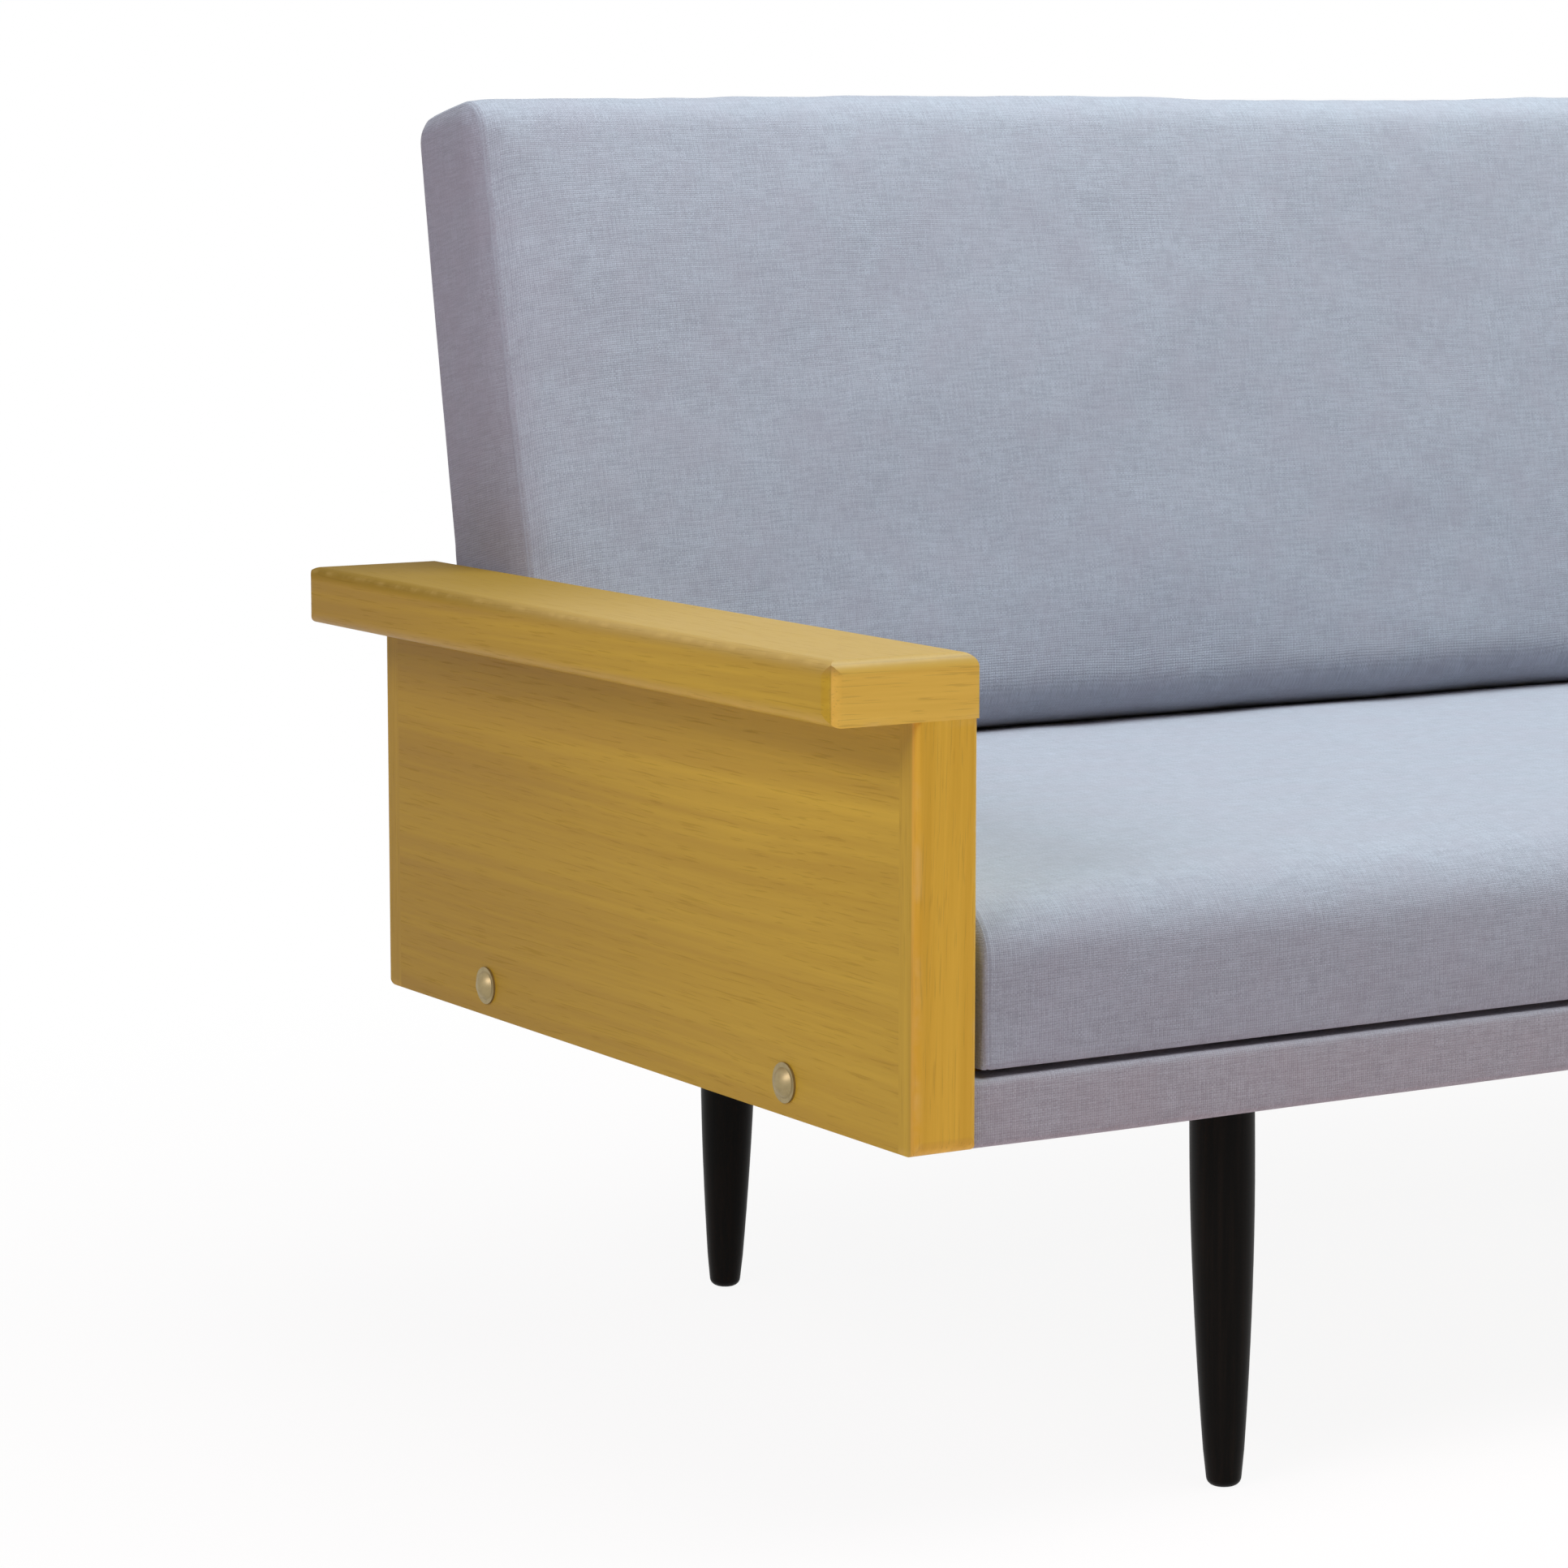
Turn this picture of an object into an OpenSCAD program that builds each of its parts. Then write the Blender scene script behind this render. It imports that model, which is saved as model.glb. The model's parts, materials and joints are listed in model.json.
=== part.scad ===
// Two-armed sofa with a drawn-out seat: timber base on four turned legs, veneered arm
// panels with overhanging armrests, an upholstered seat on runners and a leaning back.
// Millimetres. +X to the sitter's left as seen from the front, +Y to the rear, +Z up.

/* [Overall] */
// Width over the outer edges of the two armrests
sofa_w = 1900; // [1600:10:2300]
// Depth of the arms, front to rear
arm_d = 705; // [680:5:760]
// Height of the frame's underside above the floor
leg_h = 250; // [180:5:320]

/* [Arms] */
// Thickness of the arm panel
panel_t = 44; // [36:1:50]
// Height of the arm panel, from its lower edge to the armrest
panel_h = 266; // [240:2:320]
// Depth of the solid lipping on the panel's front and rear edges
lipping_d = 20; // [12:1:40]
// Rounding of the lipping's upright outer edges
lipping_r = 4; // [1:0.5:8]
// Rounding of the lipping's lower corner
lipping_heel_r = 10; // [2:1:16]
// Thickness of the armrest board
armrest_t = 40; // [30:1:50]
// Width by which the armrest stands out past the panel
armrest_overhang = 62; // [45:1:90]
// Rounding of the armrest's upper and lower edges
armrest_edge_r = 9; // [3:0.5:12]
// Rounding of the armrest's upright corners
armrest_corner_r = 10; // [3:1:20]

/* [Base frame] */
// Height of the covered rail
rail_h = 43; // [40:1:60]
// Thickness of the rail timber
rail_t = 22; // [18:1:26]
// Distance of the covered rail behind the arm's front edge
setback = 3; // [2:1:8]
// Thickness of the fabric on the rails
cover_t = 3; // [2:0.5:4]
// Depth to which the fabric turns under the rail
rail_return = 15; // [8:1:20]
// Rounding of the covered rail's edges
rail_edge_r = 5; // [3.5:0.5:8]
// Length of a side of the leg block along the sofa
leg_block_w = 80; // [70:2:100]
// Length of a side of the leg block across the sofa
leg_block_d = 90; // [80:2:110]
// Leg of the triangular corner block
corner_block = 60; // [40:2:70]
// Width of a runner strip
runner_w = 16; // [10:1:20]

/* [Legs] */
// Distance of the foot from the arm panel's outer face
foot_x = 261; // [240:1:320]
// Distance of the foot's centre from the arm's front or rear edge
foot_y = 37; // [30:1:45]
// Distance of the leg's top centre from the arm's front or rear edge
leg_top_y = 44; // [42:1:56]
// Diameter of the leg at the top
leg_top_d = 42; // [36:1:43]
// Diameter of the leg just above the foot
leg_foot_d = 23; // [18:1:30]
// Rounding of the foot's edge
foot_edge_r = 6; // [2:0.5:8]
// Share of the leg's height over which it tapers
leg_taper_share = 0.86; // [0.6:0.02:1]
// Fullness of the leg's taper
leg_fullness = 1.8; // [1:0.1:2.4]

/* [Seat] */
// Height of the shadow gap between the rail and the seat
seat_gap = 5; // [4:0.5:8]
// Height of the seat from its underside to its upper edge
seat_h = 107; // [98:1:140]
// Crown of the seat's upper face
seat_crown = 14; // [4:1:18]
// Rounding of the seat's upper edge
seat_edge_r = 22; // [10:1:30]
// Rounding of the seat's lower edge
seat_lower_r = 5; // [3.5:0.5:6]
// Gap between the upholstery and the arm panels
side_clear = 6; // [4:0.5:12]
// Gap between the seat's rear end and the back's brackets
seat_rear_clear = 5; // [3:0.5:12]
// Way that the seat draws forward
seat_travel = 110; // [60:2:112]
// Thickness of the padding and cover at the sides of the seat and the back
pad_t = 8; // [7:0.5:10]
// Height of the seat's timber frame
seat_frame_h = 40; // [32:1:48]
// Thickness of the seat's timber frame
seat_frame_t = 28; // [22:1:36]
// Thickness of the padding above the seat's foam, at its edge
seat_top_pad = 8; // [7:0.5:12]
// Rounding of the foam's outer edges
foam_r = 18; // [16:1:24]
// Draw-in of the cover between the corners
cover_draw = 1.5; // [0:0.25:2]

/* [Back] */
// Gap between the seat's crown and the back
back_gap = 9; // [6:1:20]
// Height of the back along its front face
back_h = 474; // [400:2:560]
// Lean of the back's front face, from upright
back_lean = 12.5; // [6:0.5:16]
// Thickness of the back, level with its front lower edge
back_bottom_t = 119; // [100:1:140]
// Drop of the back's underside from its front to its rear
back_foot_drop = 22; // [8:1:24]
// Thickness of the back at its top
back_top_t = 97; // [85:1:130]
// Crown of the back's front face
back_crown = 9; // [2:1:14]
// Crown of the back's top face
back_top_crown = 5; // [2:1:12]
// Rounding of the back's front edges
back_edge_r = 24; // [16:1:26]
// Rounding of the back's rear edges
back_rear_r = 12; // [9:0.5:14]
// Share of the back's crown that is lost at the middle
back_middle_dip = 0.8; // [0:0.05:1]
// Thickness of the back's timber frame
back_frame_t = 28; // [20:1:32]
// Width of the back frame's rails and uprights
back_frame_w = 50; // [36:1:60]
// Thickness of the padding in front of the back's foam
back_front_pad = 9; // [8:0.5:16]
// Thickness of the covered board on the back's rear
rear_board_t = 4; // [3:0.5:6]
// Width of the cover turned in around the rear board
rear_return = 30; // [26:1:40]

/* [Webbing] */
// Width of a webbing strap
strap_w = 50; // [40:1:60]
// Thickness of a webbing strap
strap_t = 2.5; // [1.5:0.5:4]
// Distance between seat straps, centre to centre
strap_pitch = 92; // [80:1:140]
// Number of straps in the back
back_straps = 4; // [2:1:5]

/* [Back brackets] */
// Width of a steel bracket
bracket_w = 40; // [30:1:44]
// Thickness of a steel bracket
bracket_t = 5; // [4.5:0.5:6]
// Height of the bracket's leaning part
bracket_rise = 210; // [160:5:260]
// Distance of an inner bracket from the middle
bracket_inner_x = 230; // [140:5:300]

/* [Fasteners] */
// Diameter of the frame bolts
bolt_d = 8; // [6:1:10]
// Diameter of an arm bolt's domed head
head_d = 20; // [16:1:24]
// Height of an arm bolt's domed head
head_h = 5.5; // [4:0.5:8]
// Diameter of an arm bolt's washer
washer_d = 26; // [25:1:34]
// Thickness of a washer
washer_t = 1.6; // [1:0.2:2.5]
// Distance of an arm bolt from the arm's front or rear edge
arm_bolt_y = 152; // [130:2:200]
// Width across the flats of a nut
nut_af = 13; // [11:1:17]
// Height of a nut
nut_h = 6.5; // [5:0.5:8]
// Diameter of a dowel
dowel_d = 10; // [8:1:12]
// Length of a dowel
dowel_l = 50; // [40:2:56]
// Number of dowels in an armrest
dowel_n = 4; // [3:1:6]
// Diameter of the seat's stop pin
stop_pin_d = 12; // [8:1:14]

/* [Hidden] */

$fn = 48;
eps = 0.01;
cut_margin = 1;
cut_over = 20;

// Running and seating clearances
run_clear = 0.3;
guide_clear = 1.5;
fit_clear = 0.1;
bolt_clear = 0.2;
member_drop = 1;
bracket_gap = 8;
runner_short = 2;
strap_short = 4;

// Colours
ash_face = [0.66, 0.50, 0.22];
ash_edge = [0.76, 0.58, 0.25];
grey_cloth = [0.62, 0.64, 0.68];
grey_rail = [0.55, 0.54, 0.56];
beech = [0.80, 0.66, 0.46];
black_stain = [0.10, 0.09, 0.08];
nickel = [0.75, 0.75, 0.74];
dark_steel = [0.25, 0.25, 0.26];
foam_yellow = [0.90, 0.84, 0.60];
jute = [0.55, 0.44, 0.30];
nylon_white = [0.88, 0.84, 0.72];

// Widths, measured from the middle
armrest_outer_x = sofa_w / 2;
panel_outer_x = armrest_outer_x - armrest_overhang;
panel_inner_x = panel_outer_x - panel_t;
end_rail_inner_x = panel_inner_x - rail_t;
pad_x = panel_inner_x - side_clear;
core_x = pad_x - pad_t;
leg_x = panel_outer_x - foot_x;
cross_outer_x = leg_x - leg_block_w / 2;
cross_inner_x = cross_outer_x - rail_t;
cross_mid_x = (cross_outer_x + cross_inner_x) / 2;
guide_outer_x = cross_inner_x - guide_clear;
guide_t = 22;
guide_inner_x = guide_outer_x - guide_t;
bracket_outer_x = leg_x + leg_block_w / 2 + bracket_gap + bracket_w / 2;

// Depths, measured from the arms' front edge
rail_front_y = setback;
timber_front_y = rail_front_y + cover_t;
frame_front_y = timber_front_y + rail_t;
rail_rear_y = arm_d - setback;
timber_rear_y = rail_rear_y - cover_t;
frame_rear_y = timber_rear_y - rail_t;
seat_front_y = setback + 1;
bracket_front_y = frame_rear_y - bracket_t;
seat_rear_y = bracket_front_y - seat_rear_clear;
seat_core_front_y = seat_front_y + pad_t;
seat_core_rear_y = seat_rear_y - pad_t;
seat_open_front_y = seat_core_front_y + seat_frame_t;
seat_open_rear_y = seat_core_rear_y - seat_frame_t;

// Heights
rail_top_z = leg_h + rail_h;
timber_low_z = leg_h + cover_t;
timber_top_z = rail_top_z - cover_t;
rail_mid_z = leg_h + rail_h / 2;
armrest_low_z = leg_h + panel_h;
seat_low_z = rail_top_z + seat_gap;
seat_top_z = seat_low_z + seat_h;
seat_core_low_z = seat_low_z + cover_t;
member_low_z = seat_low_z - member_drop;
seat_frame_top_z = seat_core_low_z + seat_frame_h;
seat_core_top_z = seat_top_z - seat_top_pad;
runner_top_z = member_low_z - run_clear;
back_low_z = seat_top_z + seat_crown + back_gap;

// The stop pin and its slot
pin_y = arm_d / 2;
pin_z = rail_mid_z;
slot_clear = 0.3;
pin_blind = 4;
pin_short = 2;
guide_l = 320;
guide_lift = 12;
guide_low_z = leg_h + guide_lift;

// Cuts of the cushions' skins: round corners, straight sides, round ends and lengths
arc_steps = 5;
end_steps = 5;
back_side_cuts = [2, 3, 3, 6];
seat_side_cuts = [2, 2, 8, 2];
back_length_cuts = 16;
seat_length_cuts = 12;

// Shape of the crowns: fullness, width of the middle dip, and where they fade out
bow_power = 2.4;
dip_share = 0.15;
crown_fade = 30;
edge_fade = 8;
draw_fade = 12;

// The back's outline in the YZ plane: bottom front, bottom rear, top rear, top front
lean_up = [sin(back_lean), cos(back_lean)];
lean_back = [cos(back_lean), -sin(back_lean)];
rear_rise = back_h * lean_up + back_top_t * lean_back - [back_bottom_t, 0];
rear_lean = atan2(rear_rise[0], rear_rise[1]);
bend_drop = 12;
bend_z = back_low_z - bend_drop;
back_bottom_front = [bracket_front_y + bend_drop * tan(rear_lean) - back_bottom_t, back_low_z];
back_bottom_rear = [bracket_front_y + (bend_drop - back_foot_drop) * tan(rear_lean),
                    back_low_z - back_foot_drop];
back_top_front = back_bottom_front + back_h * lean_up;
back_top_rear = back_top_front + back_top_t * lean_back;
back_outline = [back_bottom_front, back_bottom_rear, back_top_rear, back_top_front];
back_core = inset_outline(back_outline, [pad_t, rear_board_t, pad_t, back_front_pad]);
back_core_outline = concat([back_core[1], back_core[2]],
    arc_points(back_core[2], back_core[3], back_core[0], foam_r, arc_steps),
    arc_points(back_core[3], back_core[0], back_core[1], foam_r, arc_steps));

// The whole sofa is centred on its own depth
back_corner_r = [back_edge_r, back_rear_r, back_rear_r, back_edge_r];
back_points = rounded_outline(back_outline, back_corner_r, arc_steps, back_side_cuts);
deepest_y = max(arm_d, max([for (p = back_points) p[0]]));
centre_y = deepest_y / 2;

// Flat geometry helpers
function unit2(v) = v / norm(v);
function inward(a, b) = [-(b - a)[1], (b - a)[0]] / norm(b - a);
function cross2(a, b) = a[0] * b[1] - a[1] * b[0];
function meet(p, u, q, v) = p + u * cross2(q - p, v) / cross2(u, v);
function inset_corner(a, b, c, d1, d2) =
    meet(b + d1 * inward(a, b), b - a, b + d2 * inward(b, c), c - b);
function inset_outline(pts, d) =
    let (n = len(pts))
    [for (i = [0 : n - 1])
        inset_corner(pts[(i + n - 1) % n], pts[i], pts[(i + 1) % n], d[(i + n - 1) % n], d[i])];
function arc_points(a, b, c, r, n) =
    let (d1 = unit2(a - b),
         d2 = unit2(c - b),
         half = acos(d1 * d2) / 2,
         mid = b + unit2(d1 + d2) * r / sin(half),
         from = b + d1 * r / tan(half) - mid,
         turn = 180 - 2 * half)
    [for (i = [0 : n])
        let (t = turn * i / n)
        mid + [from[0] * cos(t) - from[1] * sin(t), from[0] * sin(t) + from[1] * cos(t)]];
// An outline with round corners, and each straight side cut into equal parts
function rounded_outline(pts, r, n, parts) =
    let (m = len(pts),
         arcs = [for (i = [0 : m - 1])
             arc_points(pts[(i + m - 1) % m], pts[i], pts[(i + 1) % m], is_list(r) ? r[i] : r, n)])
    [for (i = [0 : m - 1])
        let (a = arcs[i], next = arcs[(i + 1) % m][0])
        each concat(a, [for (k = [1 : 1 : (is_list(parts) ? parts[i] : parts) - 1])
            a[n] + (next - a[n]) * k / (is_list(parts) ? parts[i] : parts)])];

function clamp01(t) = max(0, min(1, t));
function bow(t) = 1 - pow(abs(2 * t - 1), bow_power);
// A crown along the sofa: highest towards both quarters, lower at the middle
function swell(t, dip) = bow(t) * (1 - dip * exp(-pow((t - 0.5) / dip_share, 2)));
// Inset of a rounded end at a distance from its flat
function end_inset(d, r) = d >= r ? 0 : r - sqrt(r * r - (r - d) * (r - d));
// Stations along the sofa: close together at the rounded ends, wide apart between
function stations(half, r, n_end, n_mid) =
    let (ends = [for (i = [0 : n_end]) r * (1 - cos(90 * i / n_end))],
         inner = half - r)
    concat([for (e = ends) -half + e],
           [for (i = [1 : n_mid - 1]) -inner + 2 * inner * i / n_mid],
           [for (i = [n_end : -1 : 0]) half - ends[i]]);

function mean(pts) = [for (k = [0 : 2]) [for (p = pts) 1] * [for (p = pts) p[k]] / len(pts)];

// A closed skin over rings of points that all have the same count, with flat ends
module skin(rings) {
    n = len(rings[0]);
    m = len(rings);
    sides = [for (j = [0 : m - 2], i = [0 : n - 1])
        let (k = (i + 1) % n)
        each [[j * n + i, (j + 1) * n + k, j * n + k], [j * n + i, (j + 1) * n + i, (j + 1) * n + k]]];
    end = (m - 1) * n;
    first = [for (i = [0 : n - 1]) [m * n, i, (i + 1) % n]];
    last = [for (i = [0 : n - 1]) [m * n + 1, end + (i + 1) % n, end + i]];
    polyhedron(points = concat([for (ring = rings, p = ring) p], [mean(rings[0]), mean(rings[m - 1])]),
               faces = concat(sides, first, last));
}

// A rectangle between two corners, with the corners named in round made to radius r
module rounded_rect(low, high, r, round = [true, true, true, true]) {
    size = high - low;
    corners = [low, [high[0], low[1]], high, [low[0], high[1]]];
    inner = [low + [r, r], [high[0] - r, low[1] + r], high - [r, r], [low[0] + r, high[1] - r]];
    difference() {
        translate(low) square(size);
        for (i = [0 : 3])
            if (round[i])
                difference() {
                    translate([min(corners[i][0], inner[i][0]), min(corners[i][1], inner[i][1])])
                        square([r, r]);
                    translate(inner[i]) circle(r = r);
                }
    }
}

// Extrudes a YZ outline along X between two values
module along_x(x0, x1) {
    translate([x0, 0, 0])
        rotate([90, 0, 90])
            linear_extrude(height = x1 - x0)
                children();
}

// Extrudes an XZ outline along Y between two values
module along_y(y0, y1) {
    translate([0, y1, 0])
        rotate([90, 0, 0])
            linear_extrude(height = y1 - y0)
                children();
}

module block(low, high) {
    translate(low) cube(high - low);
}

module placed() {
    translate([0, -centre_y, 0]) children();
}

module right_side() {
    mirror([1, 0, 0]) children();
}

module both_sides() {
    children();
    mirror([1, 0, 0]) children();
}

// Mirrors a front piece to the rear of the base, about the middle of the arms
module rear_side() {
    translate([0, arm_d, 0]) mirror([0, 1, 0]) children();
}

module both_ends() {
    children();
    rear_side() children();
}

// Base frame
module front_rail() {
    color(beech)
        block([-panel_inner_x, timber_front_y, timber_low_z],
              [panel_inner_x, frame_front_y, timber_top_z]);
}

module rear_rail() {
    color(beech)
        difference() {
            block([-panel_inner_x, frame_rear_y, timber_low_z],
                  [panel_inner_x, timber_rear_y, timber_top_z]);
            bracket_bolt_spots()
                rotate([-90, 0, 0])
                    translate([0, 0, -eps])
                        cylinder(d = bolt_d + 2 * bolt_clear, h = rail_t + 2 * eps);
        }
}

module end_rail() {
    color(beech)
        difference() {
            block([-panel_inner_x, frame_front_y, timber_low_z],
                  [-end_rail_inner_x, frame_rear_y, timber_top_z]);
            arm_bolt_spots()
                translate([0, 0, -eps])
                    cylinder(d = bolt_d + 2 * bolt_clear, h = panel_t + rail_t + 2 * eps);
        }
}

// The cross rail carries a runner, and a slot that stops the seat's pin at both ends
module cross_rail() {
    color(beech)
        difference() {
            block([-cross_outer_x, frame_front_y, timber_low_z],
                  [-cross_inner_x, frame_rear_y, timber_top_z]);
            stop_slot();
        }
}

module stop_slot() {
    r = stop_pin_d / 2 + slot_clear;
    front_y = pin_y - seat_travel;
    along_x(-cross_outer_x - eps, -cross_inner_x + eps) {
        translate([front_y, pin_z - r]) square([seat_travel, 2 * r]);
        translate([front_y, pin_z]) circle(r = r);
        translate([pin_y, pin_z]) circle(r = r);
    }
}

module centre_cross_rail() {
    color(beech)
        block([-rail_t / 2, frame_front_y, timber_low_z],
              [rail_t / 2, frame_rear_y, timber_top_z]);
}

module corner_blocks() {
    color(beech)
        both_sides()
            both_ends()
                translate([0, 0, timber_low_z])
                    linear_extrude(height = timber_top_z - timber_low_z)
                        polygon([[-end_rail_inner_x, frame_front_y],
                                 [-end_rail_inner_x + corner_block, frame_front_y],
                                 [-end_rail_inner_x, frame_front_y + corner_block]]);
}

module leg_block() {
    difference() {
        block([-leg_x - leg_block_w / 2, frame_front_y, leg_h],
              [-leg_x + leg_block_w / 2, frame_front_y + leg_block_d, timber_top_z]);
        leg_axis()
            translate([0, 0, -cut_over])
                cylinder(d = insert_d, h = cut_over + insert_l);
    }
}

module leg_blocks() {
    color(beech)
        both_sides()
            both_ends()
                leg_block();
}

module runner_strip(mid_x) {
    block([mid_x - runner_w / 2, frame_front_y + runner_short, timber_top_z],
          [mid_x + runner_w / 2, frame_rear_y - runner_short, runner_top_z]);
}

module runner_strips() {
    color(nylon_white) {
        runner_strip(-cross_mid_x);
        runner_strip(0);
        runner_strip(cross_mid_x);
    }
}

module front_rail_cover() {
    color(grey_rail)
        along_x(-panel_inner_x, panel_inner_x)
            rail_cover_outline();
}

module rear_rail_cover() {
    color(grey_rail)
        difference() {
            rear_side()
                along_x(-panel_inner_x, panel_inner_x)
                    rail_cover_outline();
            bracket_bolt_spots()
                rotate([-90, 0, 0])
                    translate([0, 0, rail_t - eps])
                        cylinder(d = bolt_d + 2 * bolt_clear, h = cover_t + 2 * eps);
        }
}

// The fabric goes over the rail's top, down its face and a little way underneath
module rail_cover_outline() {
    difference() {
        rounded_rect([rail_front_y, leg_h], [frame_front_y, rail_top_z], rail_edge_r,
                     [true, false, false, true]);
        translate([timber_front_y, timber_low_z])
            square([rail_t + eps, timber_top_z - timber_low_z]);
        translate([rail_front_y + rail_return, leg_h - eps])
            square([rail_t + 2 * cover_t, cover_t + 2 * eps]);
    }
}

// Legs
leg_splay = atan2(leg_top_y - foot_y, leg_h);
insert_d = 12;
insert_l = 24;
stud_l = 48;
stud_down = 28;
stud_end_gap = 0.5;
leg_steps = 14;
foot_steps = 5;

module leg_axis() {
    translate([-leg_x, leg_top_y, leg_h])
        rotate([-leg_splay, 0, 0])
            children();
}

function leg_r(s) =
    leg_top_d / 2 - (leg_top_d - leg_foot_d) / 2
        * pow(clamp01(1 - s / (leg_h * leg_taper_share)), leg_fullness);

// Turned to a full taper, splayed towards the outside and cut level at the top and the foot
module leg() {
    over = 2;
    foot_r = leg_r(0) - foot_edge_r;
    profile = concat(
        [[0, -over], [foot_r, -over]],
        [for (i = [0 : foot_steps])
            let (t = 90 * i / foot_steps)
            [foot_r + foot_edge_r * sin(t), foot_edge_r * (1 - cos(t))]],
        [for (i = [1 : leg_steps])
            let (s = foot_edge_r + (leg_h + over - foot_edge_r) * i / leg_steps)
            [leg_r(s), s]],
        [[0, leg_h + over]]);
    difference() {
        intersection() {
            leg_axis()
                translate([0, 0, -leg_h / cos(leg_splay)])
                    rotate_extrude()
                        polygon(profile);
            block([-leg_x - leg_top_d, leg_top_y - leg_top_d * 2, 0],
                  [-leg_x + leg_top_d, leg_top_y + leg_top_d * 2, leg_h]);
        }
        leg_axis()
            translate([0, 0, -stud_down])
                cylinder(d = bolt_d + 2 * fit_clear, h = 2 * stud_down);
    }
}

module front_left_leg() {
    color(black_stain) leg();
}

module front_right_leg() {
    color(black_stain) right_side() leg();
}

module rear_left_leg() {
    color(black_stain) rear_side() leg();
}

module rear_right_leg() {
    color(black_stain) right_side() rear_side() leg();
}

module leg_studs() {
    color(nickel)
        both_sides()
            both_ends()
                leg_axis()
                    translate([0, 0, stud_end_gap - stud_down])
                        cylinder(d = bolt_d, h = stud_l);
}

module leg_inserts() {
    color(nickel)
        both_sides()
            both_ends()
                difference() {
                    intersection() {
                        leg_axis()
                            translate([0, 0, -cut_over])
                                cylinder(d = insert_d - 2 * fit_clear,
                                         h = cut_over + insert_l - fit_clear);
                        block([-leg_x - insert_d, leg_top_y - insert_d, leg_h],
                              [-leg_x + insert_d, leg_top_y + insert_d, timber_top_z]);
                    }
                    leg_axis()
                        translate([0, 0, -cut_over])
                            cylinder(d = bolt_d + 2 * fit_clear, h = insert_l + 2 * cut_over);
                }
}

// Arms
module arm_bolt_spots() {
    for (y = [arm_bolt_y, arm_d - arm_bolt_y])
        translate([-panel_outer_x, y, rail_mid_z])
            rotate([0, 90, 0])
                children();
}

module dowel_spots() {
    for (i = [0 : dowel_n - 1])
        translate([-(panel_outer_x + panel_inner_x) / 2,
                   arm_d * (i + 0.5) / dowel_n,
                   armrest_low_z])
            children();
}

module dowel_bores() {
    dowel_spots()
        translate([0, 0, -dowel_l / 2 - fit_clear])
            cylinder(d = dowel_d + 2 * fit_clear, h = dowel_l + 2 * fit_clear);
}

module arm_panel() {
    color(ash_face)
        difference() {
            block([-panel_outer_x, lipping_d, leg_h],
                  [-panel_inner_x, arm_d - lipping_d, armrest_low_z]);
            arm_bolt_spots()
                translate([0, 0, -eps])
                    cylinder(d = bolt_d + 2 * bolt_clear, h = panel_t + 2 * eps);
            dowel_bores();
        }
}

// Solid strip on the panel's edge, rounded on its outer upright edges and at its heel
module front_lipping() {
    color(ash_edge)
        intersection() {
            translate([0, 0, leg_h])
                linear_extrude(height = panel_h)
                    rounded_rect([-panel_outer_x, 0], [-panel_inner_x, lipping_d], lipping_r,
                                 [true, true, false, false]);
            along_x(-panel_outer_x - cut_margin, -panel_inner_x + cut_margin)
                rounded_rect([0, leg_h], [lipping_d, armrest_low_z], lipping_heel_r,
                             [true, false, false, false]);
        }
}

module rear_lipping() {
    rear_side() front_lipping();
}

// A board with its three pairs of edges rounded, sitting flush with the panel's inner face
module armrest() {
    low = [-armrest_outer_x, 0, armrest_low_z];
    high = [-panel_inner_x, arm_d, armrest_low_z + armrest_t];
    color(ash_edge)
        difference() {
            intersection() {
                translate([0, 0, low[2]])
                    linear_extrude(height = armrest_t)
                        rounded_rect([low[0], low[1]], [high[0], high[1]], armrest_corner_r,
                                     [true, false, false, true]);
                along_y(low[1] - cut_margin, high[1] + cut_margin)
                    rounded_rect([low[0], low[2]], [high[0], high[2]], armrest_edge_r,
                                 [true, false, true, true]);
                along_x(low[0] - cut_margin, high[0] + cut_margin)
                    rounded_rect([low[1], low[2]], [high[1], high[2]], armrest_edge_r,
                                 [false, false, true, true]);
            }
            dowel_bores();
        }
}

module arm_dowels() {
    color(beech)
        dowel_spots()
            translate([0, 0, -dowel_l / 2])
                cylinder(d = dowel_d, h = dowel_l);
}

inner_stack = panel_t + rail_t;
bolt_past_nut = 3;

// The domed head is part of a ball, so that it meets the washer at its full diameter
module arm_bolts() {
    ball_r = (head_d * head_d / 4 + head_h * head_h) / (2 * head_h);
    color(nickel)
        arm_bolt_spots() {
            intersection() {
                translate([0, 0, -washer_t - head_h + ball_r]) sphere(r = ball_r);
                translate([0, 0, -washer_t - head_h]) cylinder(d = head_d, h = head_h);
            }
            translate([0, 0, -washer_t - eps])
                cylinder(d = bolt_d, h = inner_stack + 2 * washer_t + nut_h + bolt_past_nut);
        }
}

module washer(d) {
    difference() {
        cylinder(d = d, h = washer_t);
        translate([0, 0, -eps])
            cylinder(d = bolt_d + 2 * fit_clear, h = washer_t + 2 * eps);
    }
}

module arm_washers() {
    color(nickel)
        arm_bolt_spots() {
            translate([0, 0, -washer_t]) washer(washer_d);
            translate([0, 0, inner_stack]) washer(nut_af * 1.5);
        }
}

module nut() {
    difference() {
        cylinder(d = nut_af / cos(30), h = nut_h, $fn = 6);
        translate([0, 0, -eps])
            cylinder(d = bolt_d + 2 * fit_clear, h = nut_h + 2 * eps);
    }
}

module arm_nuts() {
    color(nickel)
        arm_bolt_spots()
            translate([0, 0, inner_stack + washer_t])
                nut();
}

// Back brackets
bracket_xs = [-bracket_outer_x, -bracket_inner_x, bracket_inner_x, bracket_outer_x];
screw_d = 6;
screw_l = 22;
screw_head_d = 13;
screw_head_h = 3.5;
screw_shares = [0.285, 0.525, 0.76];
bracket_lift = 2;

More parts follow.
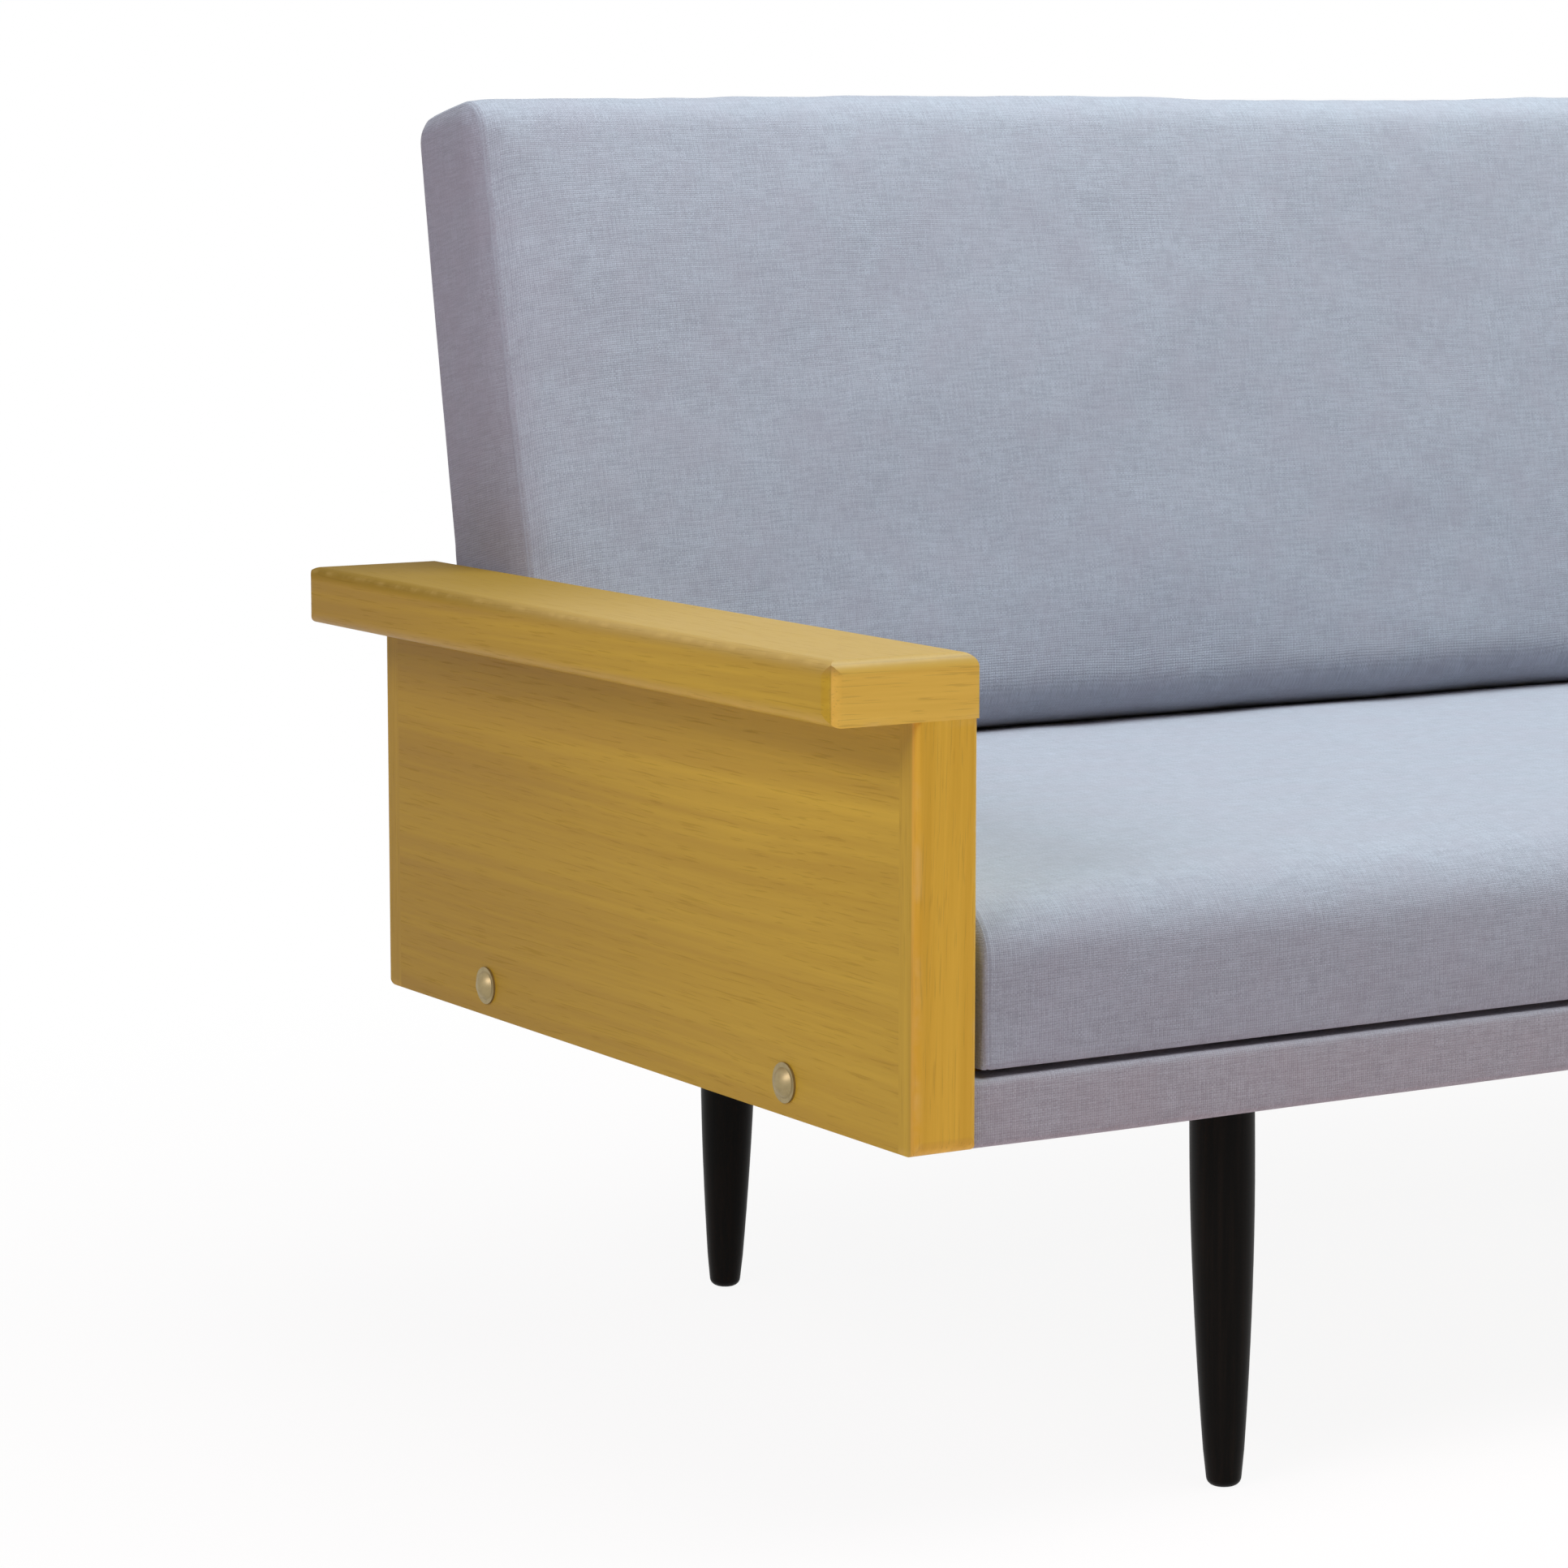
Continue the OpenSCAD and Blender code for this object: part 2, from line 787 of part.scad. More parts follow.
module bracket_bolt_spots() {
    for (x = bracket_xs, dx = [-bracket_w / 4, bracket_w / 4])
        translate([x + dx, frame_rear_y, rail_mid_z])
            children();
}

// Places a child on the leaning face of each bracket, looking along the way in
module screw_spots() {
    for (x = bracket_xs, s = screw_shares)
        translate([x, bracket_front_y, bend_z])
            rotate([-rear_lean, 0, 0])
                translate([0, bracket_t, s * bracket_rise])
                    rotate([90, 0, 0])
                        children();
}

// A flat bar: upright behind the seat, then bent to lie on the rear of the back
module bracket_bar() {
    low_z = timber_low_z + bracket_lift;
    along_x(-bracket_w / 2, bracket_w / 2)
        polygon([[bracket_front_y, low_z],
                 [bracket_front_y + bracket_t, low_z],
                 [bracket_front_y + bracket_t, bend_z - bracket_t * tan(rear_lean / 2)],
                 [bracket_front_y + bracket_t * cos(rear_lean) + bracket_rise * sin(rear_lean),
                  bend_z - bracket_t * sin(rear_lean) + bracket_rise * cos(rear_lean)],
                 [bracket_front_y + bracket_rise * sin(rear_lean),
                  bend_z + bracket_rise * cos(rear_lean)],
                 [bracket_front_y, bend_z]]);
}

module back_brackets() {
    color(dark_steel)
        difference() {
            for (x = bracket_xs)
                translate([x, 0, 0]) bracket_bar();
            bracket_bolt_spots()
                rotate([90, 0, 0])
                    translate([0, 0, -eps]) {
                        cylinder(d = bolt_d + 2 * bolt_clear, h = bracket_t + 2 * eps);
                        translate([0, 0, bracket_t - bolt_d / 2 + eps])
                            cylinder(d1 = bolt_d + 2 * bolt_clear, d2 = 2 * bolt_d + 2 * bolt_clear,
                                     h = bolt_d / 2 + eps);
                    }
            screw_spots()
                translate([0, 0, -eps])
                    cylinder(d = screw_d + 2 * bolt_clear, h = bracket_t + 2 * eps);
        }
}

// Countersunk into the bracket, so that the seat's rear end passes clear of them
module bracket_bolts() {
    shank = bracket_t + rail_t + cover_t + nut_h + bolt_past_nut;
    color(nickel)
        bracket_bolt_spots()
            rotate([-90, 0, 0])
                translate([0, 0, -bracket_t]) {
                    cylinder(d = bolt_d, h = shank);
                    cylinder(d1 = 2 * bolt_d, d2 = bolt_d, h = bolt_d / 2);
                }
}

module bracket_nuts() {
    color(nickel)
        bracket_bolt_spots()
            rotate([-90, 0, 0])
                translate([0, 0, rail_t + cover_t])
                    nut();
}

module bracket_screws() {
    color(nickel)
        screw_spots() {
            cylinder(d = screw_d, h = bracket_t + screw_l);
            translate([0, 0, -screw_head_h])
                cylinder(d1 = screw_head_d * 0.6, d2 = screw_head_d, h = screw_head_h);
        }
}

// Back frame: everything is laid out from the board on its rear face
module rear_frame_2d() {
    translate(back_core[1])
        rotate(-rear_lean)
            children();
}

core_len = norm(back_core[2] - back_core[1]);

// The part of the back's inside between two heights and two depths from the rear
module back_slice(v0, v1, n0, n1) {
    intersection() {
        polygon(back_core_outline);
        rear_frame_2d()
            translate([-n1, v0])
                square([n1 - n0, v1 - v0]);
    }
}

// Far past the back's inside, so that the outline and not the slice ends a piece
slice_over = 60;

module back_screw_holes() {
    screw_spots()
        translate([0, 0, -eps])
            cylinder(d = screw_d + 2 * fit_clear, h = bracket_t + screw_l + cut_margin);
}

module back_bottom_rail() {
    color(beech)
        difference() {
            along_x(-core_x, core_x)
                back_slice(-slice_over, back_frame_w, 0, back_frame_t);
            back_screw_holes();
        }
}

module back_top_rail() {
    color(beech)
        along_x(-core_x, core_x)
            back_slice(core_len - back_frame_w, core_len + slice_over, 0, back_frame_t);
}

upright_xs = concat([-core_x + back_frame_w / 2], bracket_xs, [core_x - back_frame_w / 2]);

module back_uprights() {
    color(beech)
        difference() {
            for (x = upright_xs)
                along_x(x - back_frame_w / 2, x + back_frame_w / 2)
                    back_slice(back_frame_w, core_len - back_frame_w, 0, back_frame_t);
            back_screw_holes();
        }
}

module back_webbing() {
    pitch = (core_len - 2 * back_frame_w) / back_straps;
    color(jute)
        for (i = [0 : back_straps - 1])
            along_x(-core_x, core_x)
                back_slice(back_frame_w + pitch * (i + 0.5) - strap_w / 2,
                           back_frame_w + pitch * (i + 0.5) + strap_w / 2,
                           back_frame_t, back_frame_t + strap_t);
}

module back_foam() {
    color(foam_yellow)
        along_x(-core_x, core_x)
            back_slice(-slice_over, core_len + slice_over,
                       back_frame_t + strap_t, back_bottom_t + slice_over);
}

// One ring of the back's skin: the outline, drawn in at the rounded ends and crowned between
function back_ring(x) =
    let (d = pad_x - abs(x),
         e_front = end_inset(d, back_edge_r),
         e_rear = end_inset(d, back_rear_r),
         along = swell((x + pad_x) / (2 * pad_x), back_middle_dip))
    [for (p = back_points)
        let (rel = p - back_bottom_front,
             up = clamp01(rel * lean_up / back_h),
             behind = rel * lean_back,
             w = clamp01(behind / back_top_t),
             e_end = end_inset(d, back_edge_r + (back_rear_r - back_edge_r) * w),
             front_near = clamp01(1 - behind / crown_fade),
             top_near = clamp01(1 - (back_h - rel * lean_up) / crown_fade),
             backwards = e_front * (1 - w) - e_rear * w - back_crown * along * bow(up) * front_near,
             upwards = e_end * (1 - 2 * up) + back_top_crown * along * top_near * (1 - w),
             r = p + backwards * lean_back + upwards * lean_up)
        [x, r[0], r[1]]];

module back_cover() {
    color(grey_cloth)
        difference() {
            skin([for (x = stations(pad_x, back_edge_r, end_steps, back_length_cuts)) back_ring(x)]);
            along_x(-core_x, core_x) polygon(back_core_outline);
            along_x(-core_x + rear_return, core_x - rear_return)
                rear_frame_2d()
                    translate([-cut_margin, rear_return])
                        square([rear_board_t + cut_over, core_len - 2 * rear_return]);
        }
}

module back_rear_board() {
    color(grey_rail)
        difference() {
            along_x(-core_x + rear_return + fit_clear, core_x - rear_return - fit_clear)
                rear_frame_2d()
                    translate([0, rear_return + fit_clear])
                        square([rear_board_t, core_len - 2 * rear_return - 2 * fit_clear]);
            back_screw_holes();
        }
}

// Seat
module seat_front_member() {
    color(beech)
        block([-core_x, seat_core_front_y, seat_core_low_z],
              [core_x, seat_open_front_y, seat_frame_top_z]);
}

module seat_rear_member() {
    color(beech)
        block([-core_x, seat_open_rear_y, seat_core_low_z],
              [core_x, seat_core_rear_y, seat_frame_top_z]);
}

module seat_end_members() {
    color(beech)
        both_sides()
            block([-core_x, seat_open_front_y, seat_core_low_z],
                  [-core_x + seat_frame_t, seat_open_rear_y, seat_frame_top_z]);
}

// These ride on the runners, a little lower than the frame around them
module seat_cross_members() {
    color(beech) {
        both_sides()
            block([-cross_outer_x, seat_open_front_y, member_low_z],
                  [-guide_inner_x, seat_open_rear_y, seat_frame_top_z]);
        block([-seat_frame_t / 2, seat_open_front_y, member_low_z],
              [seat_frame_t / 2, seat_open_rear_y, seat_frame_top_z]);
    }
}

// Guides hang beside the cross rails and keep the seat square as it draws out
module seat_guides() {
    color(beech)
        both_sides()
            difference() {
                block([-guide_outer_x, pin_y - guide_l / 2, guide_low_z],
                      [-guide_inner_x, pin_y + guide_l / 2, member_low_z]);
                stop_pin_spot()
                    translate([0, 0, -eps])
                        cylinder(d = stop_pin_d + 2 * fit_clear, h = guide_t);
            }
}

module stop_pin_spot() {
    translate([-guide_inner_x - pin_blind, pin_y, pin_z])
        rotate([0, -90, 0])
            children();
}

module seat_stop_pins() {
    color(nickel)
        both_sides()
            stop_pin_spot()
                cylinder(d = stop_pin_d, h = guide_t - pin_blind + guide_clear + rail_t - pin_short);
}

module seat_webbing() {
    n = floor((core_x - strap_w) / strap_pitch);
    color(jute)
        for (i = [-n : n])
            block([i * strap_pitch - strap_w / 2, seat_core_front_y + strap_short, seat_frame_top_z],
                  [i * strap_pitch + strap_w / 2, seat_core_rear_y - strap_short,
                   seat_frame_top_z + strap_t]);
}

module seat_foam() {
    color(foam_yellow)
        along_x(-core_x, core_x)
            seat_core_2d(seat_frame_top_z + strap_t);
}

// The seat's inside from a height up to the top of the foam, with the foam's edges rounded
module seat_core_2d(low_z) {
    rounded_rect([seat_core_front_y, low_z], [seat_core_rear_y, seat_core_top_z], foam_r,
                 [false, false, true, true]);
}

seat_outline = [[seat_front_y, seat_low_z], [seat_rear_y, seat_low_z],
                [seat_rear_y, seat_top_z], [seat_front_y, seat_top_z]];
seat_points = rounded_outline(seat_outline, [seat_lower_r, seat_lower_r, seat_edge_r, seat_edge_r],
                              arc_steps, seat_side_cuts);
seat_mid = [(seat_front_y + seat_rear_y) / 2, (seat_low_z + seat_top_z) / 2];
seat_depth = seat_rear_y - seat_front_y;

function seat_ring(x) =
    let (d = pad_x - abs(x),
         e = end_inset(d, seat_edge_r),
         e_low = end_inset(d, seat_lower_r),
         along = bow((x + pad_x) / (2 * pad_x)))
    [for (p = seat_points)
        let (t = clamp01((p[0] - seat_front_y) / seat_depth),
             high = clamp01((p[1] - seat_top_z + seat_edge_r + edge_fade) / (seat_edge_r + edge_fade)),
             end = high * e + (1 - high) * e_low,
             side = (t < 0.5 ? 1 : -1) * cover_draw * along * clamp01(1 - min(t, 1 - t) * draw_fade))
        [x,
         seat_mid[0] + (p[0] - seat_mid[0]) * (1 - 2 * end / seat_depth) + side * high,
         p[1] - end * high + (1 - high) * e_low * (p[1] < seat_mid[1] ? 1 : 0)
             + seat_crown * along * bow(t) * high]];

module seat_cover() {
    color(grey_cloth)
        difference() {
            skin([for (x = stations(pad_x, seat_edge_r, end_steps, seat_length_cuts)) seat_ring(x)]);
            along_x(-core_x, core_x) seat_core_2d(seat_core_low_z);
            block([-core_x + seat_frame_t, seat_open_front_y, seat_low_z - cut_over],
                  [core_x - seat_frame_t, seat_open_rear_y, seat_core_low_z + cut_margin]);
        }
}

placed() {
    front_rail();
    rear_rail();
    end_rail();  // left_end_rail
    right_side() end_rail();  // right_end_rail
    cross_rail();  // left_cross_rail
    right_side() cross_rail();  // right_cross_rail
    centre_cross_rail();
    corner_blocks();
    leg_blocks();
    runner_strips();
    front_rail_cover();
    rear_rail_cover();
    front_left_leg();
    front_right_leg();
    rear_left_leg();
    rear_right_leg();
    leg_studs();
    leg_inserts();
    arm_panel();  // left_arm_panel
    front_lipping();  // left_front_lipping
    rear_lipping();  // left_rear_lipping
    armrest();  // left_armrest
    arm_dowels();  // left_arm_dowels
    arm_bolts();  // left_arm_bolts
    arm_washers();  // left_arm_washers
    arm_nuts();  // left_arm_nuts
    right_side() arm_panel();  // right_arm_panel
    right_side() front_lipping();  // right_front_lipping
    right_side() rear_lipping();  // right_rear_lipping
    right_side() armrest();  // right_armrest
    right_side() arm_dowels();  // right_arm_dowels
    right_side() arm_bolts();  // right_arm_bolts
    right_side() arm_washers();  // right_arm_washers
    right_side() arm_nuts();  // right_arm_nuts
    back_brackets();
    bracket_bolts();
    bracket_nuts();
    bracket_screws();
    back_bottom_rail();
    back_top_rail();
    back_uprights();
    back_webbing();
    back_foam();
    back_cover();
    back_rear_board();
    seat_front_member();
    seat_rear_member();
    seat_end_members();
    seat_cross_members();
    seat_guides();
    seat_stop_pins();
    seat_webbing();
    seat_foam();
    seat_cover();
}
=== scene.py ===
# %% [markdown]
# # A two-armed sofa with turned legs
#
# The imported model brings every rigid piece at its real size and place: timber rails,
# veneered arm panels, armrests, legs, bolts and brackets. This lesson dresses it. Soft
# pieces are modelled again as upholstery, and each surface gets a finish from nodes.

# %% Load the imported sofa
import json
import math

import bmesh
import bpy
import numpy as np
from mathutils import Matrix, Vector


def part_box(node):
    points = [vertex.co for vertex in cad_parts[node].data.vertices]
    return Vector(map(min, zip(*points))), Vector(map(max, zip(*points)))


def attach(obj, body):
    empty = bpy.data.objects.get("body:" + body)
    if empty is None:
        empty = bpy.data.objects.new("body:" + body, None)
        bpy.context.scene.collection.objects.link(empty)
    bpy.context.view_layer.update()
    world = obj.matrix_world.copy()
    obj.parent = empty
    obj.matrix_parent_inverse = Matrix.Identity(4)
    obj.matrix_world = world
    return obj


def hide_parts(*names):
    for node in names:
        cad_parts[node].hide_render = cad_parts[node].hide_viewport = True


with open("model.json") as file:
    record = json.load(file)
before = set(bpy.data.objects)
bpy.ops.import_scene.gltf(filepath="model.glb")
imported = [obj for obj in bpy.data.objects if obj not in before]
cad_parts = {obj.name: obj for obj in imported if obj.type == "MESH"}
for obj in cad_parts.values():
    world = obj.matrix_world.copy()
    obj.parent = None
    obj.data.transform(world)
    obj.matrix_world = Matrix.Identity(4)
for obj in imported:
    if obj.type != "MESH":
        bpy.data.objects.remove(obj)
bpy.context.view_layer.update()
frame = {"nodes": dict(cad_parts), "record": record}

scene = bpy.context.scene

# %% [markdown]
# ## Camera
#
# The camera comes first, so that every later choice is seen from the right place. Its
# position, turn and lens were worked out from straight edges of known size, such as the
# armrest and the floor line of the feet. It looks along +Y, turned towards +X and tipped
# down, and its long lens keeps the sofa's edges near parallel.

# %% Place the camera
CAMERA_PLACE = (-2.45584, -2.79891, 0.88044)
CAMERA_TURN = 31.3167
CAMERA_DOWN = 7.9162
CAMERA_LENS = 112.022
CAMERA_SENSOR = 36.0

lens = bpy.data.cameras.new("camera")
lens.lens = CAMERA_LENS
lens.sensor_width = CAMERA_SENSOR
camera = bpy.data.objects.new("camera", lens)
camera.location = CAMERA_PLACE
camera.rotation_euler = (math.radians(90 - CAMERA_DOWN), 0, -math.radians(CAMERA_TURN))
scene.collection.objects.link(camera)
scene.camera = camera
print("camera at", CAMERA_PLACE, "lens", CAMERA_LENS)

# %% [markdown]
# ## Shader maths as sums
#
# A pattern is a sum over coordinates. Adding Math nodes one by one hides that sum, so a
# small class wraps a socket and gives it the usual operators. `Finish` holds the nodes of
# a material and adds any other node through one method: settings first, then inputs.


# %% Wrap a socket
def operator(operation, turned=False):
    """A method that adds one Math node. turned swaps its two inputs."""
    def apply(wire, other=None):
        return wire.maths(operation, *((other, wire) if turned else (wire, other)))
    return apply


class Wire:
    """An output socket that can be added, multiplied and compared."""

    def __init__(self, finish, socket):
        self.finish = finish
        self.socket = socket

    def maths(self, operation, *values):
        return self.finish.node("ShaderNodeMath", {"operation": operation}, values)

    __add__ = operator("ADD")
    __sub__ = operator("SUBTRACT")
    __rsub__ = operator("SUBTRACT", turned=True)
    __mul__ = operator("MULTIPLY")
    __truediv__ = operator("DIVIDE")
    __pow__ = operator("POWER")
    __gt__ = operator("GREATER_THAN")
    low = operator("MINIMUM")
    high = operator("MAXIMUM")
    abs = operator("ABSOLUTE")
    sin = operator("SINE")


class Finish:
    """One material, or the world, built node by node."""

    def __init__(self, name, world=False):
        self.material = (bpy.data.worlds if world else bpy.data.materials).new(name)
        self.material.use_nodes = True
        self.tree = self.material.node_tree
        self.shader = self.tree.nodes.get("Principled BSDF")

    def node(self, kind, settings, values, output=0):
        made = self.tree.nodes.new(kind)
        for key, value in settings.items():
            setattr(made, key, value)
        pairs = values.items() if isinstance(values, dict) else enumerate(values)
        for key, value in pairs:
            if isinstance(value, Wire):
                self.tree.links.new(value.socket, made.inputs[key])
            elif value is not None:
                made.inputs[key].default_value = value
        return Wire(self, made.outputs[output])

    def plain(self, **numbers):
        """Numbers that are the same all over, set on the shader's own sockets."""
        for key, value in numbers.items():
            self.shader.inputs[key.replace("_", " ")].default_value = value

    def drive(self, colour, rough, relief, **others):
        """Links the sockets that vary over the surface."""
        wires = {"Base_Color": colour, "Roughness": rough, "Normal": relief, **others}
        for key, wire in wires.items():
            self.tree.links.new(wire.socket, self.shader.inputs[key.replace("_", " ")])

    def mix(self, factor, one, two, blend="MIX"):
        settings = {"data_type": "RGBA", "blend_type": blend}
        return self.node("ShaderNodeMix", settings, {0: factor, 6: one, 7: two}, output=2)

    def mix_each(self, factor, ones, twos):
        return [self.mix(factor, one, two) for one, two in zip(ones, twos)]

    def combine(self, x, y, z):
        return self.node("ShaderNodeCombineXYZ", {}, [x, y, z])

    def split(self, vector):
        parts = self.node("ShaderNodeSeparateXYZ", {}, [vector])
        return [Wire(self, parts.socket.node.outputs[i]) for i in range(3)]

    def place(self):
        return self.node("ShaderNodeTexCoord", {}, [], output=3)

    def noise(self, vector, scale=1.0, detail=2.0, roughness=0.5):
        values = {"Vector": vector, "Scale": scale, "Detail": detail, "Roughness": roughness}
        return self.node("ShaderNodeTexNoise", {}, values)

    def steps(self, value, low, high):
        """0 below low, 1 above high and smooth between."""
        settings = {"interpolation_type": "SMOOTHSTEP"}
        return self.node("ShaderNodeMapRange", settings, {0: value, 1: low, 2: high})

    def bump(self, height, distance, strength=1.0, normal=None):
        values = {"Height": height, "Distance": distance, "Strength": strength}
        return self.node("ShaderNodeBump", {}, {**values, "Normal": normal})


def rgb(red, green, blue):
    """A colour as it is read on a screen, from 0 to 255, made linear for the shader."""
    parts = [c / 255 for c in (red, green, blue)]
    return (*[p / 12.92 if p <= 0.04045 else ((p + 0.055) / 1.055) ** 2.4 for p in parts], 1)


print("0.5 grey on a screen is", round(rgb(128, 128, 128)[0], 3), "in the shader")

# %% [markdown]
# ## Woven grey cloth
#
# The cover is a plain weave of melange yarn: light and dark fibres are spun together, so
# each thread changes along its length. Two sine waves give the over and under of warp and
# weft, and noise that is stretched along each thread gives the melange. The pattern reads
# the piece's own UV map, which is in metres, so that the threads follow the cushion.

# %% Weave the cloth
THREAD = 0.0016
MELANGE_LENGTH = 9.0
SEAM_X = 0.8312
SEAM_LINE = (0.0003, 0.0011)
SEAM_PUCKER = 0.012


def weave(u, v, pitch):
    """Height of a plain weave, and which of the two threads lies on top."""
    along = (u * (math.pi / pitch)).sin()
    across = (v * (math.pi / pitch)).sin()
    over = along * across * 0.5 + 0.5
    height = (along.abs() * over).high(across.abs() * (1 - over))
    return height, over > 0.5


def melange(finish, u, v, pitch):
    """Two noises, each stretched along one set of threads."""
    length = pitch * MELANGE_LENGTH
    warp = finish.noise(finish.combine(u / pitch, v / length, 0.0), 0.9, 2.0, 0.6)
    weft = finish.noise(finish.combine(u / length, v / pitch, 7.0), 0.9, 2.0, 0.6)
    return warp, weft


def cloth(name, light, dark, tint, pitch=THREAD, rough=0.88, seam_at=None):
    finish = Finish(name)
    spot = finish.node("ShaderNodeUVMap", {"uv_map": "weave"}, [])
    u, v, _ = finish.split(spot)
    height, top = weave(u, v, pitch)
    warp, weft = melange(finish, u, v, pitch)
    thread = warp * top + weft * (1 - top)
    shade = finish.steps(thread, 0.28, 0.72)
    colour = finish.mix(shade, dark, light)
    place = finish.place()
    cloudy = finish.noise(place, 26.0, 3.0, 0.6)
    colour = finish.mix(finish.steps(cloudy, 0.35, 0.7) * 0.35, colour, tint)
    # Painted shade: the hollows between the raised threads are darkened.
    colour = finish.mix((1 - height) * 0.22, colour, dark)
    relief = finish.bump(height + warp * 0.4, pitch * 0.28, 0.5)
    if seam_at is not None:
        x, y, z = finish.split(place)
        off = (x.abs() - seam_at).abs()
        near = 1 - finish.steps(off, 0.0, SEAM_PUCKER)
        line = 1 - finish.steps(off, *SEAM_LINE)
        folds = finish.noise(finish.combine(x * 12.0, y * 80.0, z * 80.0), 1.0, 1.0, 0.4)
        relief = finish.bump(folds * near * near, 0.0012, 0.35, relief)
        colour = finish.mix(line * 0.4, colour, dark)
    finish.drive(colour, shade * -0.08 + rough, relief)
    finish.plain(Sheen_Weight=0.18, Sheen_Roughness=0.45, Specular_IOR_Level=0.25)
    return finish.material


grey_cloth = cloth("grey_melange_cloth", rgb(175, 179, 191), rgb(152, 154, 165),
                   rgb(163, 159, 171), seam_at=SEAM_X)
# The rail's cloth is the same fabric with warmer tones, painted for how the light falls on the
# low rail.
rail_cloth = cloth("grey_melange_rail_cloth", rgb(179, 177, 186), rgb(154, 150, 158),
                   rgb(168, 158, 166))
lining_cloth = cloth("grey_lining", rgb(128, 126, 132), rgb(96, 94, 100),
                     rgb(110, 106, 112), pitch=0.0009, rough=0.92)
strap_cloth = cloth("webbing_strap_cloth", rgb(150, 122, 82), rgb(92, 70, 44),
                    rgb(60, 52, 40), pitch=0.0022, rough=0.85)
print("cloths:", grey_cloth.name, rail_cloth.name)

# %% [markdown]
# ## Wood
#
# Ash veneer shows long, nearly parallel lines with small open pores, and a satin lacquer
# over them. The lines are a noise that is squeezed across the grain and stretched along
# it; a second, slow noise bends them. A longer, finer noise makes the pores. The lacquer
# is worn a little where two faces meet, which the nodes find from the piece's own box.

# %% Saw and lacquer the wood
GRAIN = {"X": (0, 1, 2), "Y": (1, 0, 2), "Z": (2, 0, 1)}
PORE_DEEP = (0.16, 0.10, 0.03, 1)
RUBBED_BARE = (0.80, 0.55, 0.20, 1)
# Painted shade: faces grained along Y are multiplied by this colour towards the rear, over the
# range below.
PAINTED_REAR_SHADE = (0.8132, 0.76, 0.5016, 1)
PAINTED_SHADE_RANGE = (-0.25, 0.32)
SHADOW_AND_WEAR_RANGE = (-0.15, 0.22)
TOP_EDGE = (0.011, 0.002)
WEAR_WIDTH = 0.006
LAP_BLEND = 0.001
JOINT_LINE = (0.0002, 0.0007)
# Painted tones of the armrest's top face, front and rear; the darker rear one is a painted shadow
# of the back.
PAINTED_TOP_TONES = rgb(169, 136, 69), rgb(130, 100, 29)


def edge_wear(finish, parts, low, high):
    """1 along the edges of a box: where the second nearest face is close."""
    x, y, z = ((b - a) / 2 - (part - (a + b) / 2).abs() for part, a, b in zip(parts, low, high))
    return 1 - finish.steps(x.low(y).high(x.high(y).low(z)), 0.0, WEAR_WIDTH)


def grain_coordinates(finish, parts, along, shift):
    """The place again, as (along the grain, across it, across it), bent a little."""
    a, b, c = (parts[i] for i in GRAIN[along])
    bend = finish.noise(finish.combine(a * 1.6, b * 5.0 + shift, c * 5.0), 1.0, 1.0, 0.4)
    return a, b + bend * 0.035, c + bend * 0.03


